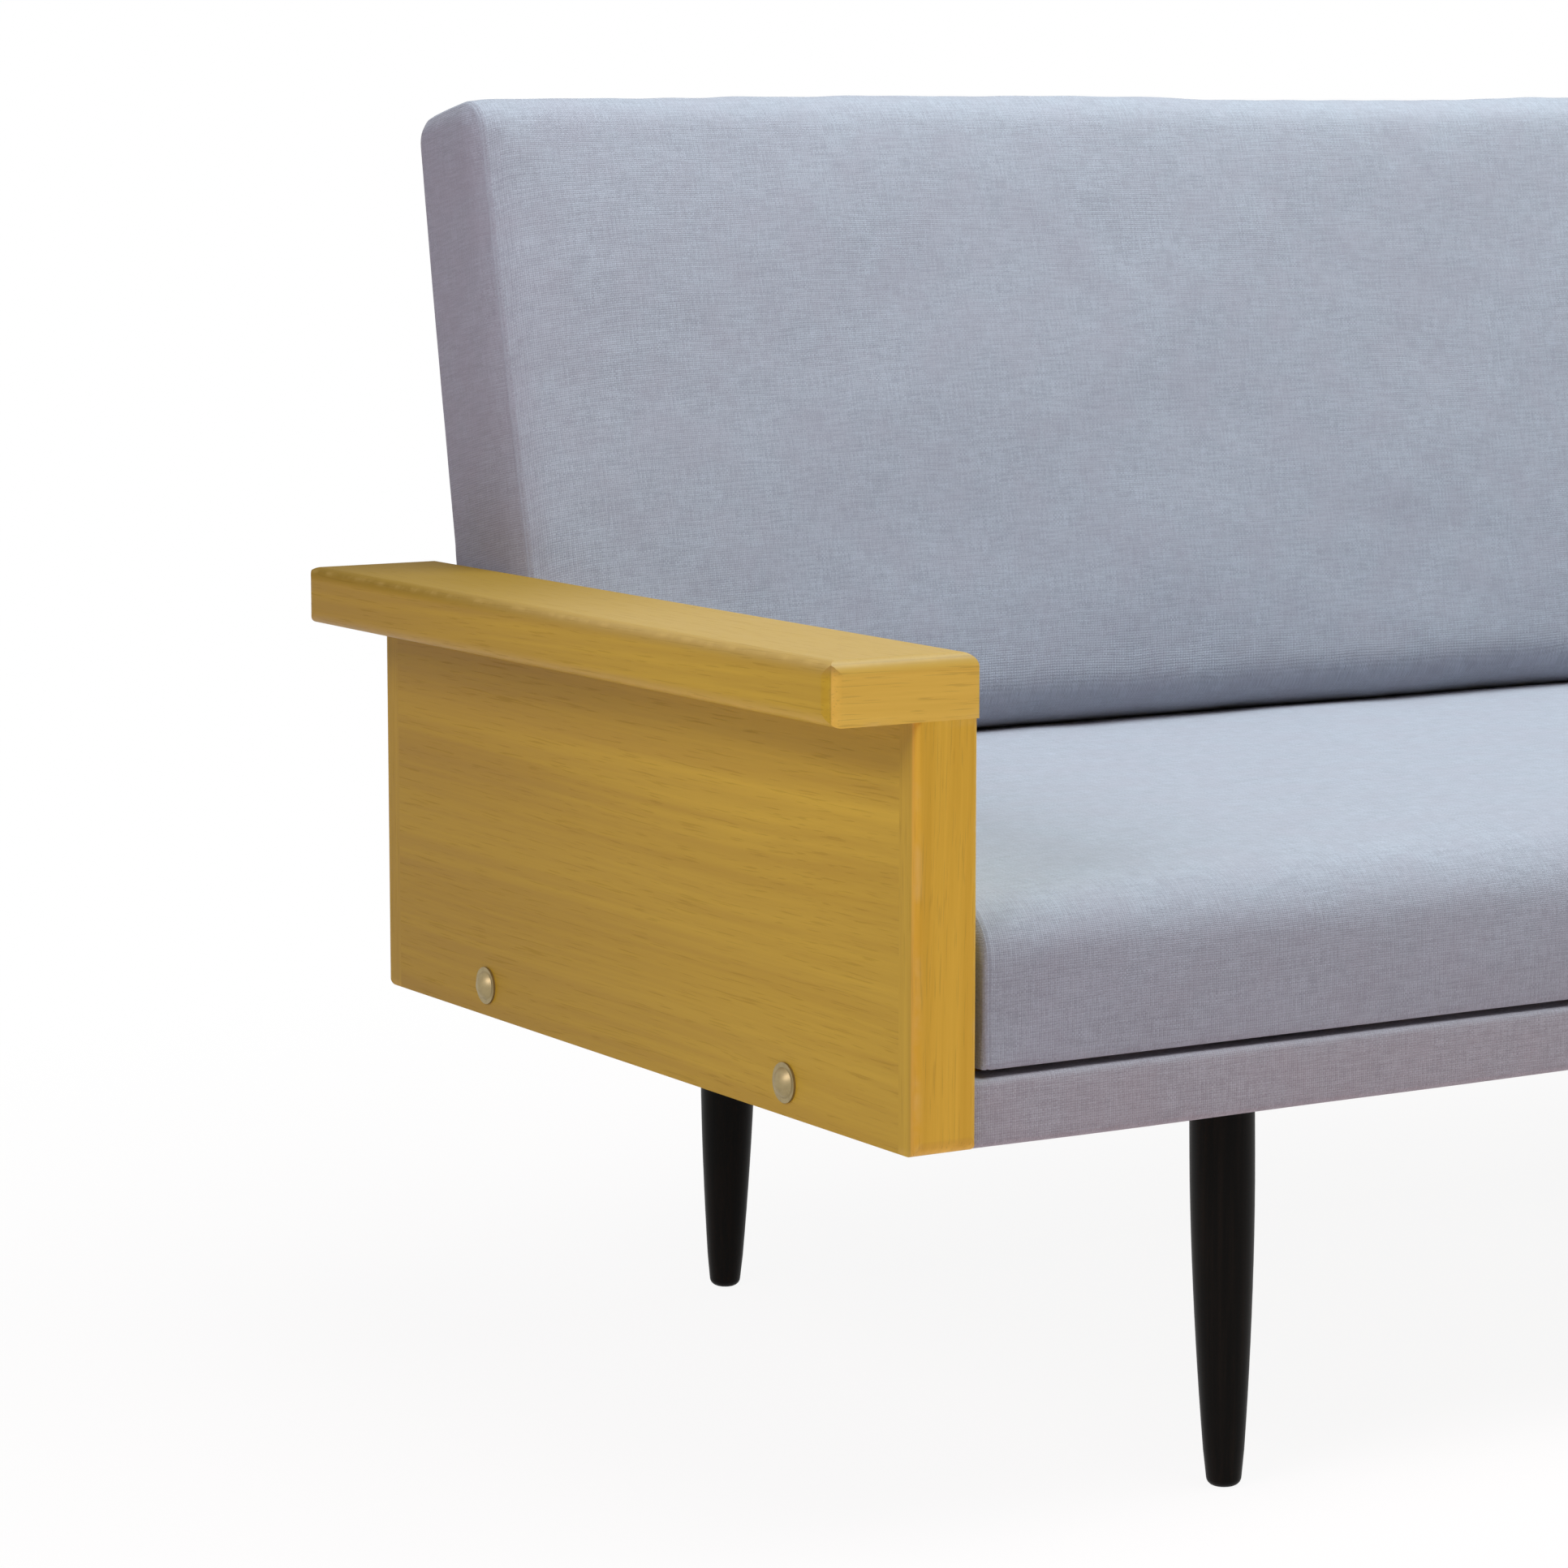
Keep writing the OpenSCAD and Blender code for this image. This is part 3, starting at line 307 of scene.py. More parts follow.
def wood(name, along, tones, box=None, rings=42.0, rough=0.48, coat=0.06,
         shift=0.0, pore=0.35, strip=None, top=None, skin=None):
    """A wood finish from a light and a dark tone.

    strip gives end strips with their own grain, and skin the place where the veneer laps over a
    solid edge, with the veneer's tones. top is the height of a top face whose colour is painted
    light and shade: a darker, greyer tone than the sides, painted for how the light and sheen
    fall on it from above, and a still darker tone towards the rear, a painted shadow of the back.
    Its lacquer there is also worn thinner. Faces grained along Y get painted shade towards the
    rear."""
    finish = Finish(name)
    parts = finish.split(finish.place())
    a, b, c = grain_coordinates(finish, parts, along, shift)
    if strip is not None:
        middle, at, turned, others = strip
        crossed = grain_coordinates(finish, parts, turned, shift + 3.0)
        off = (parts[1] - middle).abs() - at
        inside = off > 0.0
        a, b, c = (p * (1 - inside) + q * inside for p, q in zip((a, b, c), crossed))
        tones = finish.mix_each(inside, tones, others)
    if skin is not None:
        lap, others = skin
        lapped = finish.steps(parts[1], lap - LAP_BLEND, lap + LAP_BLEND)
        tones = finish.mix_each(lapped, tones, others)
    stretched = finish.combine(a * 1.1, b * rings * 3.0, c * rings * 3.0)
    lines = finish.noise(stretched, 1.0, 4.0, 0.62)
    slow = finish.combine(a * 0.7, b * rings * 0.5, c * rings * 0.5)
    wide = finish.noise(slow, 1.0, 2.0, 0.5)
    fine = finish.noise(finish.combine(a * 24.0, b * 900.0, c * 900.0), 1.0, 1.0, 0.5)
    pores = finish.steps(fine, 0.60, 0.70) * pore
    tone = lines * 0.6 + wide * 0.55
    light, dark = tones
    colour = finish.mix(finish.steps(tone, 0.36, 0.82), dark, light)
    # Painted shade: the colour darkens towards the rear, standing in for the shade that falls
    # there.
    if along == "Y":
        painted_rear_shade = finish.steps(parts[1], *PAINTED_SHADE_RANGE)
        colour = finish.mix(painted_rear_shade, colour, PAINTED_REAR_SHADE, blend="MULTIPLY")
    polish = lines * 0.10 + pores * 0.25 + (rough - 0.05)
    lacquer = (1 - pores) * coat
    # Painted light and shade on the top face, blended from front to rear; the lacquer there is
    # also worn.
    if top is not None:
        rear_shadow_and_wear = finish.steps(parts[1], *SHADOW_AND_WEAR_RANGE)
        upper = finish.steps(parts[2], *[top - depth for depth in TOP_EDGE])
        upper = upper * finish.steps(tone, 0.0, 0.5)
        colour = finish.mix(upper * 0.9, colour, finish.mix(rear_shadow_and_wear, *PAINTED_TOP_TONES))
        polish = polish + upper * rear_shadow_and_wear * 0.25
        lacquer = lacquer * (1 - upper * rear_shadow_and_wear)
    colour = finish.mix(pores * 0.5, colour, PORE_DEEP)
    if box is not None:
        patch = finish.noise(finish.combine(*parts), 38.0, 3.0, 0.6)
        rubbed = edge_wear(finish, parts, *box) * finish.steps(patch, 0.42, 0.66)
        colour = finish.mix(rubbed * 0.35, colour, RUBBED_BARE)
        polish = polish + rubbed * 0.14
    if strip is not None:
        joint = 1 - finish.steps(off.abs(), *JOINT_LINE)
        colour = finish.mix(joint * 0.15, colour, PORE_DEEP)
    relief = finish.bump(lines * 0.6 - pores, 0.00025, 0.35)
    finish.drive(colour, polish, relief, Coat_Weight=lacquer)
    finish.plain(Coat_Roughness=0.3, Specular_IOR_Level=0.22)
    return finish.material


print("veneer darkens to the rear by", PAINTED_REAR_SHADE[:3])

# %% [markdown]
# ## Stain, metal, nylon and foam
#
# The legs are stained nearly black, and a satin lacquer keeps the turning marks just
# visible. Bolts are nickel plated, brackets are powder coated with a fine orange peel,
# the runner strips are moulded nylon, and the seat's foam has open cells.


# %% Finish the small parts
def black_stain():
    finish = Finish("black_stained_wood")
    place = finish.place()
    x, y, z = finish.split(place)
    grain = finish.noise(finish.combine(x * 260.0, y * 260.0, z * 9.0), 1.0, 3.0, 0.6)
    rings = (z * 2400.0).sin() * 0.5 + 0.5
    scuff = finish.steps(finish.noise(place, 55.0, 3.0, 0.65), 0.60, 0.74)
    rubbed = scuff * (1 - finish.steps(z, 0.004, 0.03))
    colour = finish.mix(finish.steps(grain, 0.35, 0.75), rgb(10, 8, 6), rgb(22, 17, 13))
    colour = finish.mix(rubbed * 0.5, colour, rgb(60, 45, 33))
    relief = finish.bump(grain + rings * 0.15, 0.0002, 0.4)
    finish.drive(colour, grain * 0.14 + rubbed * 0.25 + 0.36, relief)
    finish.plain(Specular_IOR_Level=0.07)
    return finish.material


def darker(tone, share):
    return (*[share * k for k in tone[:3]], 1)


def plated(name, tone, rough, metal=1.0):
    finish = Finish(name)
    place = finish.place()
    stain = finish.noise(place, 180.0, 3.0, 0.6)
    fine = finish.noise(place, 2600.0, 1.0, 0.5)
    colour = finish.mix(finish.steps(stain, 0.45, 0.75) * 0.5, tone, darker(tone, 0.72))
    polish = stain * 0.18 + fine * 0.06 + (rough - 0.1)
    finish.drive(colour, polish, finish.bump(fine, 0.00006, 0.4))
    finish.plain(Metallic=metal)
    return finish.material


def moulded(name, tone, rough):
    finish = Finish(name)
    place = finish.place()
    grain = finish.noise(place, 900.0, 2.0, 0.5)
    cloudy = finish.noise(place, 30.0, 2.0, 0.5)
    colour = finish.mix(finish.steps(cloudy, 0.45, 0.75) * 0.4, tone, darker(tone, 0.8))
    finish.drive(colour, grain * 0.12 + rough, finish.bump(grain, 0.0001, 0.4))
    return finish.material


def open_cell_foam():
    finish = Finish("open_cell_foam")
    place = finish.place()
    cells = finish.node("ShaderNodeTexVoronoi", {}, {"Vector": place, "Scale": 620.0})
    cloudy = finish.noise(place, 12.0, 2.0, 0.5)
    colour = finish.mix(finish.steps(cells, 0.1, 0.6), rgb(206, 186, 118), rgb(240, 226, 168))
    colour = finish.mix(cloudy * 0.3, colour, rgb(222, 196, 122))
    finish.drive(colour, cells * 0.05 + 0.92, finish.bump(cells, 0.0008, 0.6))
    return finish.material


stain = black_stain()
nickel = plated("nickel_plate", rgb(160, 144, 106), 0.46)
coated_steel = plated("black_powder_coat", rgb(38, 38, 41), 0.48, metal=0.0)
nylon = moulded("runner_nylon_white", rgb(226, 220, 200), 0.38)
foam = open_cell_foam()
print("small finishes:", [m.name for m in (stain, nickel, coated_steel, nylon, foam)])

# %% [markdown]
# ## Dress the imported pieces
#
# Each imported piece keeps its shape, and its material slots get the new finish. Wood asks
# one more question of each piece: which way does its grain run? A rail's grain follows its
# length, so the longest side of the piece's box decides, apart from the arm's own pieces.


# %% Give each piece its finish
HONEY = rgb(211, 178, 57), rgb(188, 152, 39)
REST = rgb(208, 173, 51), rgb(184, 148, 34)
SOLID = rgb(237, 189, 67), rgb(216, 166, 48)
# The solid ash of the rear lipping, darkened as painted shade to match the veneer's painted rear
# shade.
SOLID_PAINTED_SHADE = rgb(190, 154, 42), rgb(166, 131, 30)
STRIP = rgb(246, 202, 92), rgb(226, 180, 72)
BEECH = rgb(214, 182, 138), rgb(186, 150, 106)
LAP = 0.006
END_STRIP = 0.003


def repaint(node, material):
    piece = frame["nodes"][node]
    if not piece.material_slots:
        piece.data.materials.append(material)
    for slot in piece.material_slots:
        slot.material = material


def longest(node):
    low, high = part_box(node)
    size = [b - a for a, b in zip(low, high)]
    return "XYZ"[size.index(max(size))]


def dress_arm(side, shift):
    repaint(side + "_arm_panel", wood(side + "_ash_veneer", "Y", HONEY, shift=shift, rings=40.0))
    front, rear = side + "_front_lipping", side + "_rear_lipping"
    board = (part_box(front)[0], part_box(rear)[1])
    skin = board[0][1] + LAP, HONEY
    for node, tones, lapped in ((front, SOLID, skin), (rear, SOLID_PAINTED_SHADE, None)):
        repaint(node, wood(node + "_ash", "Z", tones, box=board, shift=shift + 5.0,
                           rings=55.0, skin=lapped))
    rest = side + "_armrest"
    low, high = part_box(rest)
    middle, half = (high[1] + low[1]) / 2, (high[1] - low[1]) / 2
    strip = middle, half - END_STRIP, "X", STRIP
    repaint(rest, wood(rest + "_ash", "Y", REST, box=(low, high), shift=shift + 2.0,
                       rings=36.0, strip=strip, top=high[2]))


BY_SLOT = {"black_stain": stain, "nickel_steel": nickel, "black_steel": coated_steel,
           "runner_nylon": nylon}
RAIL_BEECH = {axis: wood("beech_along_" + axis.lower(), axis, BEECH, rings=30.0,
                         rough=0.6, coat=0.0, pore=0.2) for axis in "XYZ"}
dress_arm("left", 0.0)
dress_arm("right", 11.0)
for part in frame["record"]["subparts"]:
    node, kind = part["node"], part["material_slot"]
    if kind in BY_SLOT:
        repaint(node, BY_SLOT[kind])
    elif kind == "beech":
        repaint(node, RAIL_BEECH["Z" if node == "back_uprights" else longest(node)])
print("finishes:", len(bpy.data.materials))

# %% [markdown]
# ## Helpers for modelling
#
# Everything that is selected takes part in an operator, so each new piece starts from an
# empty selection. Faces are then picked in code, by where they are or which way they look.


# %% Select, add and finish
def start_clean():
    bpy.ops.object.select_all(action="DESELECT")


def select_only(piece):
    start_clean()
    piece.select_set(True)
    bpy.context.view_layer.objects.active = piece


def new_block(name, low, high, lean=0.0):
    """A block between two corners, or of that size about their middle if it leans."""
    start_clean()
    size = [b - a for a, b in zip(low, high)]
    middle = [(b + a) / 2 for a, b in zip(low, high)]
    bpy.ops.mesh.primitive_cube_add(size=1, location=middle, rotation=(-lean, 0, 0))
    piece = bpy.context.object
    piece.name = piece.data.name = name
    piece.scale = size
    bpy.ops.object.transform_apply(location=True, rotation=True, scale=True)
    return piece


def pick(piece, kind, wanted):
    """Goes to edit mode with only the faces or edges selected for which wanted is true."""
    bpy.ops.object.mode_set(mode="EDIT")
    bpy.ops.mesh.select_mode(type=kind)
    bpy.ops.mesh.select_all(action="DESELECT")
    mesh = bmesh.from_edit_mesh(piece.data)
    for item in (mesh.faces if kind == "FACE" else mesh.edges):
        item.select_set(bool(wanted(item)))
    bmesh.update_edit_mesh(piece.data)


def span(edge, axis):
    """How far an edge runs along X, Y or Z (0, 1 or 2)."""
    return abs((edge.verts[0].co - edge.verts[1].co)[axis])


def bevel(piece, wanted, width, segments):
    pick(piece, "EDGE", wanted)
    bpy.ops.mesh.bevel(offset=width, segments=segments)


def cut_along(piece, axis, longer, cuts):
    """Cuts the edges that run further than that along one axis."""
    pick(piece, "EDGE", lambda e: span(e, axis) > longer)
    bpy.ops.mesh.subdivide(number_cuts=cuts)


def done_editing():
    bpy.ops.object.mode_set(mode="OBJECT")


def apply_modifiers(piece):
    bpy.context.view_layer.objects.active = piece
    for modifier in list(piece.modifiers):
        bpy.ops.object.modifier_apply(modifier=modifier.name)


def finish_piece(piece, material, body, nodes, smooth=35):
    """Material, shading, body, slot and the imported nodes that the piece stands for."""
    piece.data.materials.clear()
    piece.data.materials.append(material)
    select_only(piece)
    bpy.ops.object.shade_smooth_by_angle(angle=math.radians(smooth))
    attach(piece, body)
    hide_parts(*nodes)
    print(piece.name, len(piece.data.polygons), "faces")


print("modelling helpers ready")


# %% Read and move many points at once
WAVES, WAVE_RANGE = 14, (0.7, 1.6)


def read(items, key, width=3, kind=float):
    """One property of all the items of a mesh, as an array with a row for each."""
    flat = np.empty(len(items) * width, dtype=kind)
    items.foreach_get(key, flat)
    return flat.reshape(-1, width) if width > 1 else flat


def coordinates(piece):
    return read(piece.data.vertices, "co")


def normals(piece):
    return read(piece.data.vertex_normals, "vector")


def set_coordinates(piece, points):
    piece.data.vertices.foreach_set("co", points.ravel())
    piece.data.update()


def turned(y, z, angle):
    """Places in (Y, Z), turned about the sofa's length."""
    c, s = math.cos(angle), math.sin(angle)
    return y * c - z * s, y * s + z * c


def soft_noise(points, cell, seed):
    """Smooth random heights from -1 to 1, from a sum of waves in fixed directions."""
    random = np.random.default_rng(seed)
    total = np.zeros(len(points))
    full_turn = 2 * math.pi
    for _ in range(WAVES):
        way = random.normal(size=3)
        way /= np.linalg.norm(way)
        length = cell * random.uniform(*WAVE_RANGE)
        total += np.sin(points @ way * (full_turn / length) + random.uniform(0, full_turn))
    return total / math.sqrt(WAVES)


print("+Y turned by 90 degrees gives", [round(v) for v in turned(1, 0, math.pi / 2)])

# %% [markdown]
# ## Shape of a cushion
#
# Both cushions are long boxes with a soft outline. A ring of points round the outline is
# swept along the sofa: at each end the ring draws in along a quarter circle, and a flat
# cap of squares closes it. The rings lie closer where the cover is sewn to its end panel.

# %% Rings of an outline
ARC_CUTS = 6
END_RINGS = 5
SEAM_SHARE = 0.29
SEAM_RINGS = 0.0013
SEAM_CLEAR = 0.0022
PITCH = 0.012


def unit(vector):
    return vector / np.linalg.norm(vector)


def corner_arc(before, corner, after, radius):
    """Points on a round corner, from one side to the next."""
    d1, d2 = unit(before - corner), unit(after - corner)
    half = math.acos(d1 @ d2) / 2
    middle = corner + unit(d1 + d2) * radius / math.sin(half)
    start = corner + d1 * radius / math.tan(half) - middle
    turn = math.pi - 2 * half
    return [middle + np.array(turned(*start, turn * i / ARC_CUTS)) for i in range(ARC_CUTS + 1)]


def outline_ring(corners, radii, ends, cuts):
    """The ring, how round the end is at each point, and the number where each side starts.

    Sides start at the middle of a corner, and opposite sides hold as many points."""
    count = len(corners)
    arcs = [corner_arc(corners[i - 1], corners[i], corners[(i + 1) % count], radii[i])
            for i in range(count)]
    points, rounds, starts = [], [], []
    for i in range(count):
        here, there = arcs[i], arcs[(i + 1) % count]
        straight = [here[-1] + (there[0] - here[-1]) * k / cuts[i] for k in range(1, cuts[i])]
        chain = here[ARC_CUTS // 2:] + straight + there[:ARC_CUTS // 2]
        starts.append(len(points))
        points += chain
        for k in range(len(chain)):
            share = k / len(chain)
            first = (ends[i - 1] - ends[i]) / 2 * max(0, 1 - 4 * share)
            last = (ends[(i + 1) % count] - ends[i]) / 2 * max(0, 4 * share - 3)
            rounds.append(ends[i] + first + last)
    return np.array(points), np.array(rounds), starts


def stations(half, radius):
    """Places along the sofa: dense over the round ends and at the seam, even between."""
    seam = SEAM_SHARE * radius
    ends = [radius * (1 - math.cos(math.pi / 2 * i / END_RINGS)) for i in range(END_RINGS + 1)]
    ends = [e for e in ends if abs(e - seam) > SEAM_CLEAR]
    ends = sorted(ends + [seam - SEAM_RINGS, seam, seam + SEAM_RINGS])
    inner = half - radius
    count = round(2 * inner / PITCH)
    middle = [-inner + 2 * inner * i / count for i in range(1, count)]
    return [-half + e for e in ends] + middle + [half - e for e in reversed(ends)]


def draw_in(gap, radius):
    """How far a quarter circle draws in at a distance from the flat end."""
    gap = np.minimum(gap, radius)
    return radius - np.sqrt(np.maximum(radius ** 2 - (radius - gap) ** 2, 0))


print("5 mm from its end, a corner of 20 mm draws in", draw_in(5, 20).round(1), "mm")


# %% Build the closed mesh
def ring_normals(ring):
    tangent = np.roll(ring, -1, axis=0) - np.roll(ring, 1, axis=0)
    normal = np.stack([tangent[:, 1], -tangent[:, 0]], axis=1)
    return normal / np.linalg.norm(normal, axis=1, keepdims=True)


def sweep(ring, rounds, half, radius, bulge):
    """A ring for each place along the sofa, drawn in near the ends and then bulged."""
    out, places, rings = ring_normals(ring), stations(half, radius), []
    for x in places:
        made = ring - out * draw_in(half - abs(x), rounds)[:, None]
        bulge(made, (x + half) / (2 * half))
        rings.append(made)
    return rings, places


def cap_grid(ring, starts):
    """The ring's point numbers round a grid over the flat end, and its inner points."""
    n, k = starts[1], starts[2] - starts[1]
    i, j = np.arange(n + 1), np.arange(k + 1)
    grid = np.zeros((n + 1, k + 1), dtype=int)
    grid[:, 0], grid[:, k] = i, starts[2] + n - i
    grid[0], grid[n] = (starts[3] + k - j) % len(ring), n + j
    rim = ring[grid]
    u, v = (i / n)[:, None, None], (j / k)[None, :, None]
    lofted = rim[:, :1] * (1 - v) + rim[:, -1:] * v + rim[:1] * (1 - u) + rim[-1:] * u
    bilinear = ((rim[0, 0] * (1 - u) + rim[-1, 0] * u) * (1 - v)
                + (rim[0, -1] * (1 - u) + rim[-1, -1] * u) * v)
    return grid, (lofted - bilinear)[1:-1, 1:-1].reshape(-1, 2)


def build_cushion(name, rings, places, starts):
    """A closed quad mesh over the rings, with a grid of squares on each end."""
    size = len(rings[0])
    points = [(x, *p) for x, ring in zip(places, rings) for p in ring]
    faces = []
    for j in range(len(rings) - 1):
        for i in range(size):
            k = (i + 1) % size
            faces.append((j * size + i, j * size + k, (j + 1) * size + k, (j + 1) * size + i))
    for end, base in ((0, 0), (-1, (len(rings) - 1) * size)):
        grid, inner = cap_grid(rings[end], starts)
        grid += base
        grid[1:-1, 1:-1].flat = range(len(points), len(points) + len(inner))
        points += [(places[end], *p) for p in inner]
        rows = grid.tolist()
        for row, following in zip(rows, rows[1:]):
            for j in range(len(row) - 1):
                quad = (row[j], row[j + 1], following[j + 1], following[j])
                faces.append(quad if end == 0 else quad[::-1])
    mesh = bpy.data.meshes.new(name)
    mesh.from_pydata(points, [], faces)
    piece = bpy.data.objects.new(name, mesh)
    scene.collection.objects.link(piece)
    work = bmesh.new()
    work.from_mesh(mesh)
    bmesh.ops.recalc_face_normals(work, faces=work.faces)
    work.to_mesh(mesh)
    work.free()
    print(name, len(points), "points", len(faces), "squares")
    return piece


# %% [markdown]
# ## Swell the cover
#
# The cover is cut tight, and the padding pushes it out between the places where it is
# held. Cloth with a little pressure shows that: the underside or the rear is pinned, where
# staples hold it, and so are the seams. A cap on how far a point may move keeps the size.

# %% Run the cloth
SWELL_FRAMES = 20
SWELL_CAP = 0.006
CLOTH = {"quality": 4, "mass": 0.3, "tension_stiffness": 25, "compression_stiffness": 25,
         "shear_stiffness": 12, "bending_stiffness": 1.2, "use_pressure": True,
         "uniform_pressure_force": 0.08, "vertex_group_mass": "held"}
SHRINK = 0.001
SEAM_HOLD = 0.0016
SEAM_HALF = 0.0011
SEAM_DEPTH = 0.0009
RUFFLES = (0.16, 0.0007), (0.045, 0.00025)


def swell(piece, held):
    """Pressure from inside, with some points held; no point moves further than the cap."""
    before = coordinates(piece)
    group = piece.vertex_groups.new(name="held")
    group.add(np.flatnonzero(held).tolist(), 1.0, "REPLACE")
    cover = piece.modifiers.new("cover", "CLOTH")
    for key, value in CLOTH.items():
        setattr(cover.settings, key, value)
    cover.settings.effector_weights.gravity = 0
    cover.point_cache.frame_start = 1
    cover.point_cache.frame_end = SWELL_FRAMES
    for number in range(1, SWELL_FRAMES + 1):
        scene.frame_set(number)
    apply_modifiers(piece)
    scene.frame_set(1)
    piece.vertex_groups.clear()
    move = coordinates(piece) - before
    far = np.linalg.norm(move, axis=1)
    limit = SWELL_CAP * np.tanh(far / SWELL_CAP) / np.maximum(far, 1e-9)
    set_coordinates(piece, before + move * limit[:, None])
    print(piece.name, "swelled up to", round((far * limit).max() * 1000, 2), "mm")


def smooth_once(piece):
    modifier = piece.modifiers.new("smooth", "SUBSURF")
    modifier.levels = modifier.render_levels = 1
    apply_modifiers(piece)


def crease_seams(piece, seam_x):
    """The cover dips into the seams that join it to its end panels."""
    points, out = coordinates(piece), normals(piece)
    off = np.abs(np.abs(points[:, 0]) - seam_x)
    dip = SEAM_DEPTH * np.clip(1 - off / SEAM_HALF, 0, 1)
    set_coordinates(piece, points - out * dip[:, None])


def upholster(piece, seam_x, stapled):
    """Pulls the cover tight, swells it between seams and staples, and creases the seams."""
    points, out = coordinates(piece), normals(piece)
    held = stapled(out) | (np.abs(np.abs(points[:, 0]) - seam_x) < SEAM_HOLD)
    set_coordinates(piece, points - out * SHRINK * (~held)[:, None])
    swell(piece, held)
    crease_seams(piece, seam_x)
    smooth_once(piece)


def ruffle(piece, seed, free):
    """Small unevenness that a hand-covered cushion has."""
    points, out = coordinates(piece), normals(piece)
    height = sum(soft_noise(points, cell, seed + i) * depth
                 for i, (cell, depth) in enumerate(RUFFLES))
    set_coordinates(piece, points + out * (height * free(points))[:, None])


print("cloth for", SWELL_FRAMES, "frames, skipped in a quick look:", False)


# %% Cut beds and lay out the weave
FACES_SIDE = 0.7
FACES_END = 0.72
END_PANEL_SHIFT = 0.37


def cut_away(piece, low, high, lean=0.0):
    """Cuts a box out of a cushion. The box leans about its own middle."""
    cutter = new_block("cutter", low, high, lean)
    select_only(piece)
    cut = piece.modifiers.new("cut", "BOOLEAN")
    cut.operation = "DIFFERENCE"
    cut.solver = "EXACT"
    cut.object = cutter
    apply_modifiers(piece)
    bpy.data.objects.remove(cutter)


def unroll(piece, lean, front, top):
    """UV in metres: the weave runs up the front, over the top and down the rear."""
    mesh = piece.data
    layer = mesh.uv_layers.new(name="weave")
    points, facing = coordinates(piece), read(mesh.polygons, "normal")
    y, z = turned(points[:, 1], points[:, 2], lean)
    rearward, upward = turned(facing[:, 1], facing[:, 2], lean)
    totals = read(mesh.polygons, "loop_total", 1, int)
    corner = read(mesh.loops, "vertex_index", 1, int)
    end = np.repeat(np.abs(facing[:, 0]) > FACES_END, totals)
    rear = np.repeat((rearward > FACES_SIDE) & (upward < FACES_SIDE), totals)
    under = np.repeat(upward < -FACES_SIDE, totals)
    x, y, z = points[corner, 0], y[corner], z[corner]
    u = np.where(end, y + END_PANEL_SHIFT, x)
    v = np.select([end, under, rear], [z, z - y + 2 * front, y + 2 * top - z], z + y)
    layer.data.foreach_set("uv", np.stack([u, v], axis=1).ravel())


print("the weave is laid out in metres")

# %% [markdown]
# ## Seat cushion
#
# A foam block on a timber frame, wrapped in wadding and cloth. Its front is nearly flat
# and upright, its lower edge is crisp where the cloth turns under the frame, and its upper
# edge is soft. The top is crowned, and front and rear draw in slightly between the ends.

# %% Draw the seat's rings
SEAT_EDGE = 0.022
SEAT_RADII = [0.004, 0.004, 0.014, 0.038]
SEAT_ENDS = [0.002, 0.008, 0.013, 0.004]
SEAT_FALL = 0.004
SEAT_CROWN = 0.0135
SEAT_DRAW = 0.0015
SHORT_CUTS = 6
EDGE_BAND = 0.03
REAR_FROM, REAR_BAND, REAR_LEVEL = 0.6, 0.25, 0.95
CROWN_POWER, REAR_POWER, END_POWER = 3.0, 5.0, 14.0
SIDE_SLOPE = 12


def bow(t, power=2.4):
    """0 at both ends of 0 to 1, and 1 in the middle; flatter there with more power."""
    return 1 - np.abs(2 * t - 1) ** power


def long_cuts(length):
    return int(length / PITCH) - 3


def seat_rings(low, high):
    y0, y1, z0 = low[1], high[1], low[2]
    z1 = high[2] - SEAT_CROWN
    corners = [np.array(p) for p in ((y0, z0), (y1, z0), (y1, z1), (y0, z1 - SEAT_FALL))]
    ring, rounds, starts = outline_ring(corners, SEAT_RADII, SEAT_ENDS,
                                        [long_cuts(y1 - y0), SHORT_CUTS] * 2)
    upper = np.clip((ring[:, 1] - z1 + EDGE_BAND) / EDGE_BAND, 0, 1)
    across = np.clip((ring[:, 0] - y0) / (y1 - y0), 0, 1)
    rear = np.clip((across - REAR_FROM) / REAR_BAND, 0, 1)
    edge = np.clip(1 - np.minimum(across, 1 - across) * SIDE_SLOPE, 0, 1)
    height = np.clip((ring[:, 1] - z0) / (z1 - z0), 0, 1)

    def bulge(made, t):
        along = bow(t)
        level = along * (1 - rear) + REAR_LEVEL * bow(t, END_POWER) * rear
        power = CROWN_POWER + REAR_POWER * rear
        made[:, 1] += SEAT_CROWN * level * bow(across, power) * upper
        made[:, 0] += np.where(across < 0.5, 1, -1) * edge * SEAT_DRAW * along * bow(height)

    return *sweep(ring, rounds, high[0], SEAT_EDGE, bulge), starts


print("the seat's crown rises", SEAT_CROWN * 1000, "mm")

# %% Make the seat cushion
SEAT_PAD = 0.008
SEAT_WALL = SEAT_PAD + 0.0275
SEAT_SEED = 5
SEAT_FLOOR = 0.0004
LOOKS_DOWN = -0.5
FOAM_GAP = 0.002
CUT_PAST = 0.02


